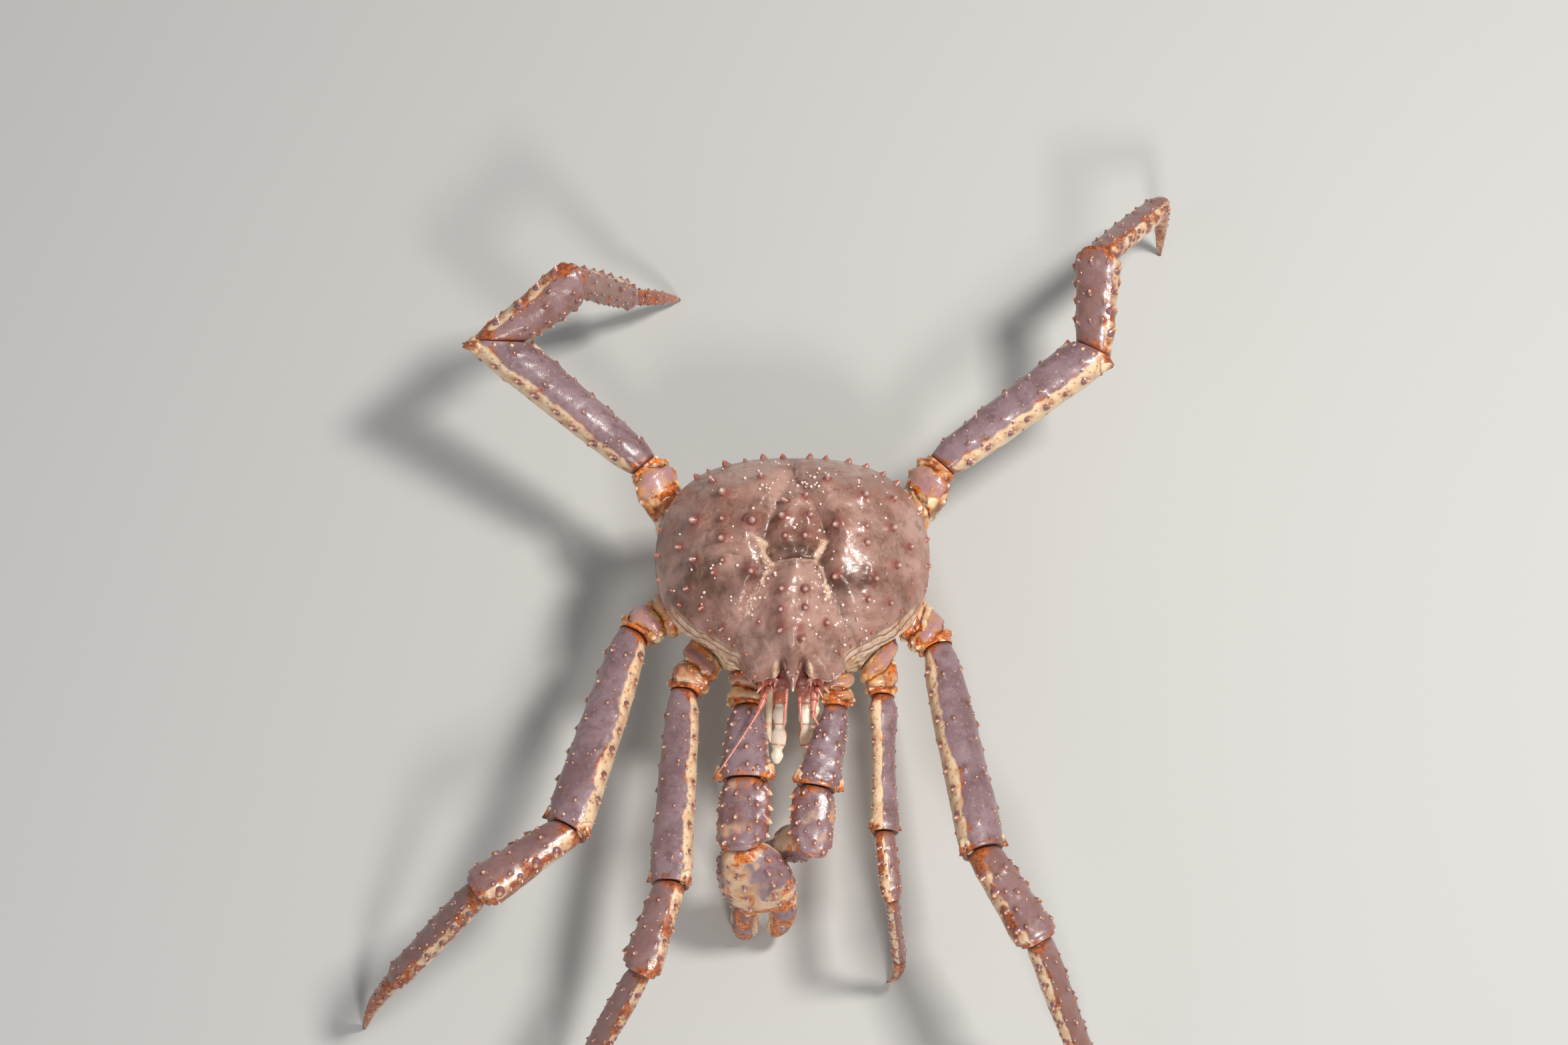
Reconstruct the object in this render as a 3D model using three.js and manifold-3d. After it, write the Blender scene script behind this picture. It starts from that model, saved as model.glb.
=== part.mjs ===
// A red king crab, life size, standing on its six walking legs with its claws hanging in front.
// Millimetres, +Z up, head towards -Y, the crab's own right side on -X, floor at Z = 0.
// Heights in the body tables are measured from the side edge of the shell.

import * as THREE from 'three';
import { mergeVertices } from 'three/addons/utils/BufferGeometryUtils.js';
import Module from 'manifold-3d';

const wasm = await Module();
wasm.setup();

// Driving sizes
const edgeLevel = 112;          // side edge of the shell above the floor
const domeRise = 44;            // middle of the shell above its side edge
const domeFullness = 2.4;       // how far out the top of the shell stays high
const domeShoulder = 0.75;      // how steeply it falls to its edge
const edgeFade = 6;             // how late the swellings fade towards the edge
const wallDrop = 16;            // foot of the shell wall below the side edge
const trunkDepth = 31;          // body under the shell, which carries the legs
const hipDrop = 32;             // middle of the leg bases below the side edge
const gap = 0.3;                // between touching parts
const spineSides = 5;
const spineSink = 2.6;          // how deep a spine is rooted
const spineGirth = 0.5;         // radius of a spine's root, share of its height
const limbSides = 12;
const sectionRoundness = 2.4;   // 2 is an ellipse, more is squarer
const mergeDistance = 1e-4;

// Shell edge: angle from the tail, distance from the middle, height; the other half is a mirror
const shellEdge = [
  [0, 75, 5], [25, 80, 5], [45, 89, 3], [62, 93, 1], [90, 91.5, 0], [105, 90.5, 0], [120, 87, 1],
  [135, 80.5, 3], [150, 79.5, 7], [158, 85, 10], [165, 88, 12], [172.5, 81, 13], [180, 84, 17],
];
const shellRings = [0.08, 0.2, 0.33, 0.46, 0.59, 0.71, 0.82, 0.91, 0.97, 1];
const shellRays = 48;
const wallRings = [[1, 7], [8, wallDrop]];      // inset and drop below the edge

// Swellings (positive) and grooves (negative) of the shell: x, y, half width, half length, height
const relief = [
  [0, -42, 16, 30, 8],          // stomach region
  [0, 16, 16, 19, 8],           // heart region
  [44, 14, 28, 34, 6],          // gill regions
  [21, 22, 5, 26, -6],          // grooves beside the heart region
  [20, -14, 7, 9, -8],          // deep pits between the regions
  [28, -34, 6, 16, -5],         // grooves beside the stomach region
  [0, -8, 22, 5, -6],           // groove between stomach and heart regions
  [0, 56, 2.5, 12, -3],         // slit behind the heart region
];

// Shell spines: x and y on the crab's left half, and height; each is repeated on the right half
const shellSpines = [
  [5.5, 27, 5], [8, 14, 6.5], [5.5, 1, 6],                                      // heart region
  [7, -34, 5.5], [7, -46, 5.5], [7, -58, 6], [22, -54, 4.5],                    // stomach region
  [22, 41, 6], [45, 31, 6.5], [30, 14, 6.5], [47, 12, 5.5], [64, 12, 6],        // gill regions
  [47, -1, 6], [70, -16, 4.5], [76, 4, 5], [66, 36, 5], [58, 50, 5],
  [29, -26, 5], [52, -27, 5.5], [44, -41, 4.5], [60, -41, 5],
];
const spineSpread = 1.6;        // how far a spine may stand from its place
const edgeSpines = [8, 19, 30, 41, 53, 65, 78, 91, 104, 117, 130, 143, 155, 164];   // angles from the tail
const edgeSpineHeight = 5.5;
const edgeSpineShare = 0.98;
const edgeSpineLift = 0.35;

// Front of the head under the shell's ledge
const ledgeLevel = 9;           // lower face of the ledge
const faceFront = -74;          // upright face that carries the eyes and feelers
const faceHalfWidth = 27;
const rostrum = { root: [0, -80, 15], toward: [0, -0.93, 0.36], length: 14 };
const browSpines = [[13, -86, 14, 5], [26, -80, 12, 5]];    // x, y, height above the edge, length

// Left half of the trunk's outline, from the mouth to the tail
const trunkOutline = [[15, -70], [45, -63], [69, -36], [78, 6], [60, 50], [30, 64]];
const limbOrder = ['claw', 'front_leg', 'middle_leg', 'rear_leg'];    // each on its own flat of the trunk

// Tail flap folded under the trunk: y, half width, depth below the side edge
const tailFlap = [[72, 22, 40], [69, 34, 49], [60, 42, 53], [44, 42, 54], [22, 36, 54], [2, 26, 53],
  [-14, 16, 51], [-24, 7, 48]];

// Rows forward from the face or the mouth: x on the crab's left, y, height, width, depth
const eyeRows = [[6, -74, 1, 5.4, 6], [6.4, -79, 2, 5.6, 6], [6.8, -83, 3, 7.4, 8], [7, -87, 3.4, 6.6, 7.4],
  [7, -89.5, 3.4, 2.4, 2.8]];
const antennuleRows = [[3.4, -74, -6, 3.2, 3.2], [4, -84, -5, 3, 3], [4.6, -95, -4, 2.4, 2.4],
  [5.4, -104, -5, 1.8, 1.8], [6, -112, -8, 0.9, 0.9]];
const antennaRows = {
  right: [[15, -74, -3, 9, 8], [17.5, -84, -2, 7, 6.5], [19.6, -94, 0, 6.2, 5.6], [22.6, -102, 1.5, 4.4, 4],
    [24, -105, 2, 2.4, 2.2], [35, -124, 4.5, 2, 1.8], [46, -142, 7, 1.5, 1.4], [50, -148, 7, 0.8, 0.7]],
  left: [[15, -74, -3, 9, 8], [14.6, -84, -2, 7, 6.5], [14, -94, -1, 6, 5.4], [13.4, -102, 0, 4.4, 4],
    [14, -106, 0, 2.8, 2.6], [17, -111, 0, 1.2, 1.1]],
};
// Spines of the antenna's root: x, y, height, direction, length
const antennaSpines = [[19, -79, 1, 1, -0.5, 0.3, 8], [19, -83, 2, 0.7, -1, 0.2, 9], [17, -88, 2, 0.6, -1, 0.1, 6]];
const mouthRows = [[9, -70, -32, 10, 9], [9, -84, -37, 10, 8], [8.8, -96, -41, 8.6, 7.4], [9.2, -104, -43, 9.6, 7.6],
  [10, -112, -45, 8.4, 6.6], [10.6, -118, -47, 7.6, 5.6], [10.8, -122, -48.5, 3.6, 3]];
const feelerSides = 8;

// Lengths of the limb sections from the trunk outwards
const bigClaw = { base: 24, merus: 58, carpus: 42, chela: 93 };
const smallClaw = { base: 24, merus: 60, carpus: 37, chela: 72 };
const frontLeg = { base: 36, merus: 146, carpus: 66, propodus: 96, dactyl: 66 };
const regrownLeg = { base: 34, merus: 100, carpus: 46, propodus: 68, dactyl: 38 };
const middleLeg = { base: 44, merus: 155, carpus: 73, propodus: 100, dactyl: 68 };
const rearLeg = { base: 61, merus: 130, carpus: 68, propodus: 90, dactyl: 62 };

// Each limb: lengths, width and depth at its thickest, the same for its pincer with the lean of its
// fingers to the side of the opening one, roll towards the tail, twist of the pincer, and the compass
// bearing from +X and rise from the floor of each section, all in degrees. A last section without a
// bearing keeps the one before it, and each falls as steeply as it takes to reach the floor.
const limbs = {
  right_claw: { lengths: bigClaw, size: [31, 25], pincer: [33, 26], lean: -0.32, roll: 12, twist: 0,
    pose: { base: [270, 8], merus: [268.5, 16], carpus: [266.5, -12], chela: [304.5, -60] } },
  left_claw: { lengths: smallClaw, size: [26, 21], pincer: [20, 18], lean: 0.2, roll: 12, twist: 60,
    pose: { base: [268, 8], merus: [257, 6], carpus: [264, -6], chela: [136, -63] } },
  right_front_leg: { lengths: frontLeg, size: [26, 21], roll: 24,
    pose: { base: [244, 13], merus: [266.8, 12], carpus: [253, 10], propodus: [231, -50] } },
  left_front_leg: { lengths: regrownLeg, size: [18, 14.5], roll: 24,
    pose: { base: [275, 9], merus: [270.3, 8], carpus: [276, 2], propodus: [284, -70], dactyl: [215] } },
  right_middle_leg: { lengths: middleLeg, size: [30, 24], roll: 24,
    pose: { base: [219, 15], merus: [254, 12], carpus: [218.5, 8], propodus: [214, -46] } },
  left_middle_leg: { lengths: middleLeg, size: [29, 24], roll: 24,
    pose: { base: [303, 14], merus: [280.6, 10], carpus: [299, 8], propodus: [297, -46] } },
  right_rear_leg: { lengths: rearLeg, size: [30, 25], roll: 16,
    pose: { base: [122, 15], merus: [142, 12], carpus: [38, 6], propodus: [30, -62] } },
  left_rear_leg: { lengths: rearLeg, size: [30, 25], roll: 16,
    pose: { base: [58, 15], merus: [37.2, 4], carpus: [86, 6], propodus: [52, -34.5], dactyl: [285] } },
};

// Section forms: place along the section, width and depth as shares of the limb's own
const legForms = {
  base: [[0, 0.96, 0.94], [0.3, 0.9, 0.9], [0.55, 0.97, 0.95], [0.85, 0.88, 0.86], [1, 0.74, 0.74]],
  merus: [[0, 0.66, 0.68], [0.08, 0.8, 0.84], [0.3, 0.92, 0.96], [0.65, 1, 1], [0.9, 1.06, 1.02], [1, 0.94, 0.92]],
  carpus: [[0, 0.66, 0.68], [0.15, 0.78, 0.82], [0.5, 0.88, 0.92], [0.82, 1, 0.98], [0.93, 0.98, 0.94], [1, 0.8, 0.8]],
  propodus: [[0, 0.46, 0.5], [0.08, 0.6, 0.66], [0.4, 0.66, 0.68], [0.8, 0.6, 0.6], [0.94, 0.58, 0.6],
    [1, 0.46, 0.48]],
  dactyl: [[0, 0.36, 0.38], [0.15, 0.38, 0.42], [0.5, 0.3, 0.33], [0.8, 0.19, 0.2], [1, 0.1, 0.1]],
};
const regrownForms = {
  base: legForms.base,
  merus: [[0, 0.8, 0.8], [0.1, 1.06, 1.04], [0.3, 0.9, 0.92], [0.5, 0.84, 0.9], [0.75, 0.94, 0.96], [0.93, 1.1, 1.04],
    [1, 1, 0.96]],
  carpus: [[0, 0.62, 0.66], [0.15, 0.7, 0.76], [0.5, 0.72, 0.78], [0.8, 0.78, 0.82], [1, 0.6, 0.64]],
  propodus: [[0, 0.38, 0.42], [0.15, 0.48, 0.54], [0.5, 0.46, 0.52], [0.9, 0.52, 0.54], [1, 0.44, 0.48]],
  dactyl: [[0, 0.4, 0.42], [0.15, 0.48, 0.52], [0.5, 0.38, 0.42], [0.8, 0.22, 0.24], [1, 0.12, 0.12]],
};
const clawForms = {
  base: legForms.base,
  merus: [[0, 0.62, 0.64], [0.1, 0.72, 0.78], [0.4, 0.88, 0.94], [0.75, 1.02, 1.04], [0.93, 1.12, 1.06], [1, 1, 0.98]],
  carpus: [[0, 0.8, 0.8], [0.12, 0.97, 0.93], [0.5, 1.03, 1], [0.86, 1, 0.98], [1, 0.86, 0.86]],
  palm: [[0, 0.6, 0.66], [0.16, 1.06, 0.98], [0.5, 1.42, 1.2], [0.82, 1.42, 1.16], [1, 1.28, 0.96]],
};
const ownForms = { right_claw: clawForms, left_claw: clawForms, left_front_leg: regrownForms };
const dactylBow = 3.5;          // how far the last section bends outwards half way along

// Spine rows of each section: angle round it from its front edge over the back, first and last place
// along it, how many, height on a limb of the middle leg's width
const spineRows = {
  base: [[50, 0.62, 0.86, 2, 4.4], [150, 0.62, 0.86, 2, 4.4]],
  merus: [[18, 0.12, 0.8, 6, 3.8], [75, 0.16, 0.88, 4, 2.8], [120, 0.14, 0.86, 5, 2.6], [168, 0.12, 0.8, 6, 2.8],
    [5, 0.89, 0.94, 2, 5.4], [175, 0.89, 0.94, 2, 5]],
  carpus: [[20, 0.26, 0.84, 4, 4.8], [90, 0.24, 0.82, 3, 3.2], [165, 0.26, 0.84, 4, 3.4]],
  propodus: [[15, 0.16, 0.9, 6, 3.2], [95, 0.18, 0.88, 4, 2.4], [170, 0.16, 0.9, 5, 2.6]],
  dactyl: [[90, 0.14, 0.3, 2, 2.2]],
  palm: [[5, 0.3, 0.88, 5, 3.1], [55, 0.34, 0.86, 4, 3.4], [100, 0.3, 0.86, 4, 3.4], [145, 0.34, 0.86, 4, 3.4],
    [178, 0.28, 0.9, 6, 2.6]],
};
const rowWidth = 28;            // limb width that the heights above are for
const spineLean = 0.4;          // how much a spine leans towards the limb's end
const spineJitter = { place: 0.016, angle: 7, height: 0.22 };

// Claw fingers, as shares of the claw's length, width and depth
const fingerShare = 0.4;
const fingerRoot = -0.22;       // the fixed finger starts this far inside the palm
const fingerSet = { root: 0.25, tip: 0.19, bow: 0.06 };     // from the line between the fingers
const fingerForm = [[-0.3, 0.4, 0.8], [0, 0.43, 0.8], [0.3, 0.4, 0.74], [0.6, 0.33, 0.6], [0.85, 0.25, 0.42],
  [1, 0.12, 0.2]];
const fingerSteps = 5;
const palmWidth = 1.3;          // width where the fingers start, share of the limb's own
const palmDepth = 1;            // the same for its depth
const fingerKnobs = [[0.24, 2.4], [0.46, 2.4], [0.68, 2]];    // place along the finger and height
const bigClawWidth = 40;        // palm width that the knob heights are for

// Colours with roughness
const paints = {
  shell: [0x8f6f70, 0.32],
  trunk: [0xd9bf93, 0.5],
  limb: [0x95808c, 0.34],
  claw: [0xc89a78, 0.42],
  eye: [0x6d4a50, 0.15],
  feeler: [0xc96b5c, 0.4],
};

const crab = new THREE.Group();

function addPart(name, solid, [color, roughness]) {
  const material = new THREE.MeshStandardMaterial({ color, roughness, metalness: 0 });
  const mesh = new THREE.Mesh(toGeometry(solid), material);
  mesh.name = name;
  crab.add(mesh);
}

// Solids and unions
function toSolid(geometry) {
  const bare = geometry.clone();
  bare.deleteAttribute('normal');
  bare.deleteAttribute('uv');
  const merged = mergeVertices(bare, mergeDistance);
  return new wasm.Manifold(new wasm.Mesh({
    numProp: 3,
    vertProperties: new Float32Array(merged.attributes.position.array),
    triVerts: new Uint32Array(merged.index.array),
  }));
}

function toGeometry(solid) {
  const { vertProperties, triVerts } = solid.getMesh();
  const geometry = new THREE.BufferGeometry();
  geometry.setAttribute('position', new THREE.BufferAttribute(new Float32Array(vertProperties), 3));
  geometry.setIndex(new THREE.BufferAttribute(new Uint32Array(triVerts), 1));
  geometry.computeVertexNormals();
  return geometry;
}

function largestBody(solid) {
  const bodies = solid.decompose();
  return bodies.reduce((best, body) => (body.volume() > best.volume() ? body : best));
}

function fuse(body, additions) {
  return largestBody(wasm.Manifold.union([body, ...additions]));
}

function box(from, to) {
  const size = to.map((value, axis) => value - from[axis]);
  const block = new THREE.BoxGeometry(...size);
  block.translate(...from.map((value, axis) => value + size[axis] / 2));
  return toSolid(block);
}

// Closed skin over rings of points, with a fan about the middle of each end
function skin(rings) {
  const sides = rings[0].length;
  const middleOf = (ring) => ring.reduce((sum, point) => sum.add(point), new THREE.Vector3()).divideScalar(sides);
  const points = [...rings.flat(), middleOf(rings[0]), middleOf(rings[rings.length - 1])];
  const firstMiddle = rings.length * sides;
  const lastRow = firstMiddle - sides;
  const index = [];
  for (let side = 0; side < sides; side += 1) {
    const next = (side + 1) % sides;
    for (let row = 0; row < rings.length - 1; row += 1) {
      const here = row * sides + side;
      const beside = row * sides + next;
      index.push(here, beside, beside + sides, here, beside + sides, here + sides);
    }
    index.push(firstMiddle, next, side);
    index.push(firstMiddle + 1, lastRow + side, lastRow + next);
  }
  const geometry = new THREE.BufferGeometry();
  const corners = points.flatMap((point) => point.toArray());
  geometry.setAttribute('position', new THREE.Float32BufferAttribute(corners, 3));
  geometry.setIndex(facingOut(points, index));
  return toSolid(geometry);
}

function facingOut(points, index) {
  let volume = 0;
  for (let place = 0; place < index.length; place += 3) {
    const [first, second, third] = index.slice(place, place + 3).map((corner) => points[corner]);
    volume += first.dot(new THREE.Vector3().crossVectors(second, third));
  }
  return volume > 0 ? index : index.reverse();
}

// Smooth value between the rows of a table, read at a place given by its first column
function along(table, place, column) {
  let row = 0;
  while (row < table.length - 2 && place > table[row + 1][0]) row += 1;
  const slope = (at) => {
    if (at === 0 || at === table.length - 1) return 0;
    return (table[at + 1][column] - table[at - 1][column]) / (table[at + 1][0] - table[at - 1][0]);
  };
  const span = table[row + 1][0] - table[row][0];
  const part = THREE.MathUtils.clamp((place - table[row][0]) / span, 0, 1);
  const rest = 1 - part;
  return table[row][column] * (1 + 2 * part) * rest * rest
    + table[row + 1][column] * (1 + 2 * rest) * part * part
    + slope(row) * span * part * rest * rest
    - slope(row + 1) * span * rest * part * part;
}

// Repeatable spread between -1 and 1
function spread(seed) {
  const value = Math.sin(seed * 12.9898) * 43758.5453;
  return 2 * (value - Math.floor(value)) - 1;
}

function rad(degrees) {
  return THREE.MathUtils.degToRad(degrees);
}

function bodyPoint(x, y, height) {
  return new THREE.Vector3(x, y, edgeLevel + height);
}

function spine(root, direction, height) {
  const upright = new THREE.Vector3(0, 1, 0);
  const cone = new THREE.ConeGeometry(height * spineGirth, height + spineSink, spineSides);
  const middle = root.clone().addScaledVector(direction, (height - spineSink) / 2);
  cone.applyQuaternion(new THREE.Quaternion().setFromUnitVectors(upright, direction));
  cone.translate(middle.x, middle.y, middle.z);
  return toSolid(cone);
}

// The shell over the body
function reliefAt(x, y) {
  return relief.reduce((sum, [middleX, middleY, wide, long, height]) => {
    const sideways = (Math.abs(x) - middleX) / wide;
    const lengthwise = (y - middleY) / long;
    return sum + height * Math.exp(-sideways * sideways - lengthwise * lengthwise);
  }, 0);
}

function edgeReach(angle) {
  return along(shellEdge, Math.abs(angle), 1);
}

function edgeRise(angle) {
  return along(shellEdge, Math.abs(angle), 2);
}

function shellPoint(angle, share) {
  const x = edgeReach(angle) * share * Math.sin(rad(angle));
  const y = edgeReach(angle) * share * Math.cos(rad(angle));
  const dome = domeRise * (1 - share ** domeFullness) ** domeShoulder;
  const swelling = reliefAt(x, y) * (1 - share ** edgeFade);
  return bodyPoint(x, y, edgeRise(angle) * share ** 2 + dome + swelling);
}

function wallPoint(angle, [inset, drop]) {
  const reach = edgeReach(angle) - inset;
  const height = drop < wallDrop ? edgeRise(angle) - drop : -wallDrop;
  return bodyPoint(reach * Math.sin(rad(angle)), reach * Math.cos(rad(angle)), height);
}

function shellOutward(angle, share) {
  const here = shellPoint(angle, share);
  const beside = shellPoint(angle + 2, share).sub(here);
  const inside = shellPoint(angle, share - 0.02).sub(here);
  const outward = new THREE.Vector3().crossVectors(beside, inside).normalize();
  return outward.z < 0 ? outward.negate() : outward;
}

function shellSpine(x, y, height) {
  const angle = THREE.MathUtils.radToDeg(Math.atan2(x, y));
  const share = Math.hypot(x, y) / edgeReach(angle);
  return spine(shellPoint(angle, share), shellOutward(angle, share), height);
}

function edgeSpine(angle, seed) {
  const outward = new THREE.Vector3(Math.sin(rad(angle)), Math.cos(rad(angle)), edgeSpineLift).normalize();
  const height = edgeSpineHeight * (1 + spineJitter.height * spread(seed));
  return spine(shellPoint(angle, edgeSpineShare), outward, height);
}

function shell() {
  const angles = Array.from({ length: shellRays }, (_, ray) => (ray * 360) / shellRays - 180);
  const rings = shellRings.map((share) => angles.map((angle) => shellPoint(angle, share)));
  const wall = wallRings.map((row) => angles.map((angle) => wallPoint(angle, row)));
  const behindFace = box(
    [-faceHalfWidth, 2 * faceFront, edgeLevel - 2 * wallDrop],
    [faceHalfWidth, faceFront, edgeLevel + ledgeLevel],
  );
  const spines = [-1, 1].flatMap((side) => [
    ...shellSpines.map(([x, y, height], row) => shellSpine(
      side * x + spineSpread * spread(row * 4 + side),
      y + spineSpread * spread(row * 4 + side + 200),
      height,
    )),
    ...edgeSpines.map((angle, row) => edgeSpine(side * angle, row * 4 + side + 400)),
    ...browSpines.map(([x, y, height, length]) => spine(
      bodyPoint(side * x, y, height),
      new THREE.Vector3(side * 0.2, -0.95, 0.25).normalize(),
      length,
    )),
  ]);
  const beak = new THREE.Vector3(...rostrum.toward).normalize();
  spines.push(spine(bodyPoint(...rostrum.root), beak, rostrum.length));
  return fuse(skin([...rings, ...wall]).subtract(behindFace), spines);
}

// The trunk under the shell, grown by a clearance where another part is cut clear of it
function trunk(clearance) {
  const outline = [...trunkOutline, ...trunkOutline.map(([x, y]) => [-x, y]).reverse()];
  const middleY = trunkOutline.reduce((sum, [, y]) => sum + y, 0) / trunkOutline.length;
  const grow = (value, middle) => value + Math.sign(value - middle) * clearance;
  const plan = new THREE.Shape(outline.map(([x, y]) => new THREE.Vector2(grow(x, 0), grow(y, middleY))));
  const block = new THREE.ExtrudeGeometry(plan, { depth: trunkDepth + clearance, bevelEnabled: false });
  block.translate(0, 0, edgeLevel - wallDrop - gap - trunkDepth - clearance);
  return toSolid(block);
}

function tailFlapSolid() {
  const top = edgeLevel - wallDrop - gap;
  const rings = tailFlap.map(([y, half, depth]) => {
    const foot = edgeLevel - depth;
    const corners = [[-1, top], [-1, foot + half * 0.2], [-0.6, foot], [0.6, foot], [1, foot + half * 0.2], [1, top]];
    return corners.map(([share, height]) => new THREE.Vector3(share * half, y, height));
  });
  return largestBody(skin(rings).subtract(trunk(gap)));
}

// A round part that reaches forward, ring by ring in upright planes
function feeler(rows, side) {
  return skin(rows.map(([x, y, height, wide, deep], row) => ringOf(feelerSides, (across, up) => bodyPoint(
    side * x + (across * wide) / 2,
    row === 0 ? y - gap : y,
    height + (up * deep) / 2,
  ))));
}

function ringOf(sides, place) {
  return Array.from({ length: sides }, (_, side) => {
    const turn = (2 * Math.PI * side) / sides;
    return place(Math.cos(turn), Math.sin(turn), turn);
  });
}

function antenna(word, side) {
  const spines = antennaSpines.map(([x, y, height, toX, toY, toZ, length]) => spine(
    bodyPoint(side * x, y, height),
    new THREE.Vector3(side * toX, toY, toZ).normalize(),
    length,
  ));
  return fuse(feeler(antennaRows[word], side), spines);
}

// A limb section between two joint planes, each given by the direction it faces
function section({ start, length, axis, front, back, startFace, endFace, startGap, endGap, wide, deep, form, bow }) {
  const offset = (place, turn) => {
    const power = 2 / sectionRoundness;
    const across = Math.sign(Math.cos(turn)) * Math.abs(Math.cos(turn)) ** power;
    const up = Math.sign(Math.sin(turn)) * Math.abs(Math.sin(turn)) ** power;
    return new THREE.Vector3()
      .addScaledVector(front, (across * wide * along(form, place, 1)) / 2)
      .addScaledVector(back, (up * deep * along(form, place, 2)) / 2);
  };
  const shift = (face, place, turn) => -offset(place, turn).dot(face) / axis.dot(face);
  const point = (place, turn) => {
    const near = startGap / axis.dot(startFace) + shift(startFace, 0, turn);
    const far = length - endGap / axis.dot(endFace) + shift(endFace, 1, turn);
    return start.clone()
      .addScaledVector(axis, near + (far - near) * place)
      .addScaledVector(back, bow * Math.sin(Math.PI * place))
      .add(offset(place, turn));
  };
  const outward = (turn) => new THREE.Vector3()
    .addScaledVector(front, Math.cos(turn) / wide)
    .addScaledVector(back, Math.sin(turn) / deep)
    .normalize();
  return { point, outward, axis, wide, form };
}

function sectionSkin(part) {
  return skin(part.form.map(([place]) => ringOf(limbSides, (across, up, turn) => part.point(place, turn))));
}

function rowSpines(part, rows, seed) {
  return rows.flatMap(([angle, from, to, count, height], row) => Array.from({ length: count }, (_, step) => {
    const draw = seed + row * 40 + step * 3;
    const place = from + ((to - from) * step) / (count - 1) + spineJitter.place * spread(draw);
    const turn = rad(angle + spineJitter.angle * spread(draw + 1));
    const tall = (height * part.wide * (1 + spineJitter.height * spread(draw + 2))) / rowWidth;
    const direction = part.outward(turn).addScaledVector(part.axis, spineLean).normalize();
    return spine(part.point(place, turn), direction, tall);
  }));
}

function directionOf([compass, rise]) {
  return new THREE.Vector3(
    Math.cos(rad(rise)) * Math.cos(rad(compass)),
    Math.cos(rad(rise)) * Math.sin(rad(compass)),
    Math.sin(rad(rise)),
  );
}

// Directions of a section: along it, to its front edge and out of its back
function levelFrame(axis, side) {
  const up = new THREE.Vector3(0, 0, 1);
  const front = up.clone().cross(axis).normalize().multiplyScalar(-side);
  return { axis, front, back: up.addScaledVector(axis, -axis.z).normalize() };
}

function turnedAlong({ axis, front, back }, angle) {
  return {
    axis,
    front: front.clone().multiplyScalar(Math.cos(angle)).addScaledVector(back, Math.sin(angle)),
    back: back.clone().multiplyScalar(Math.cos(angle)).addScaledVector(front, -Math.sin(angle)),
  };
}

// The same directions past a joint that bends the limb to a new axis
function bentTo(axis, frame) {
  const bend = new THREE.Quaternion().setFromUnitVectors(frame.axis, axis);
  return { axis, front: frame.front.clone().applyQuaternion(bend), back: frame.back.clone().applyQuaternion(bend) };
}

function hipOf(name, side) {
  const place = limbOrder.findIndex((limb) => name.endsWith(limb));
  const [from, to] = [trunkOutline[place], trunkOutline[place + 1]];
  return {
    start: bodyPoint((side * (from[0] + to[0])) / 2, (from[1] + to[1]) / 2, -hipDrop),
    face: new THREE.Vector3(side * (to[1] - from[1]), from[0] - to[0], 0).normalize(),
  };
}

function fingerMiddle(place) {
  const bow = fingerSet.bow * Math.sin(Math.PI * Math.max(place, 0));
  return fingerSet.root + (fingerSet.tip - fingerSet.root) * place + bow;
}

// One claw finger, from inside the palm or from its end face
function finger({ end, axis, front, back, reach, wide, deep, lean }, way, from) {
  const rings = Array.from({ length: fingerSteps + 1 }, (_, step) => {
    const place = from + ((1 - from) * step) / fingerSteps;
    const set = way * fingerMiddle(place) + lean * Math.max(place, 0);
    return ringOf(limbSides, (side, up) => end.clone()
      .addScaledVector(axis, place * reach)
      .addScaledVector(front, wide * (set + (side * along(fingerForm, place, 1)) / 2))
      .addScaledVector(back, (up * deep * along(fingerForm, place, 2)) / 2));
  });
  const knobs = fingerKnobs.map(([place, height]) => {
    const set = way * (fingerMiddle(place) - along(fingerForm, place, 1) / 2) + lean * place;
    const root = end.clone().addScaledVector(axis, place * reach).addScaledVector(front, wide * set);
    return spine(root, front.clone().multiplyScalar(-way), (height * wide) / bigClawWidth);
  });
  return fuse(skin(rings), knobs);
}

// Bearing of one section: the last section of a leg falls to the floor
function bearingOf(kind, height, lengths, pose) {
  if (kind !== 'dactyl') return pose[kind];
  const fall = Math.asin(height / lengths.dactyl);
  return [(pose.dactyl ?? pose.propodus)[0], -THREE.MathUtils.radToDeg(fall)];
}

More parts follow.
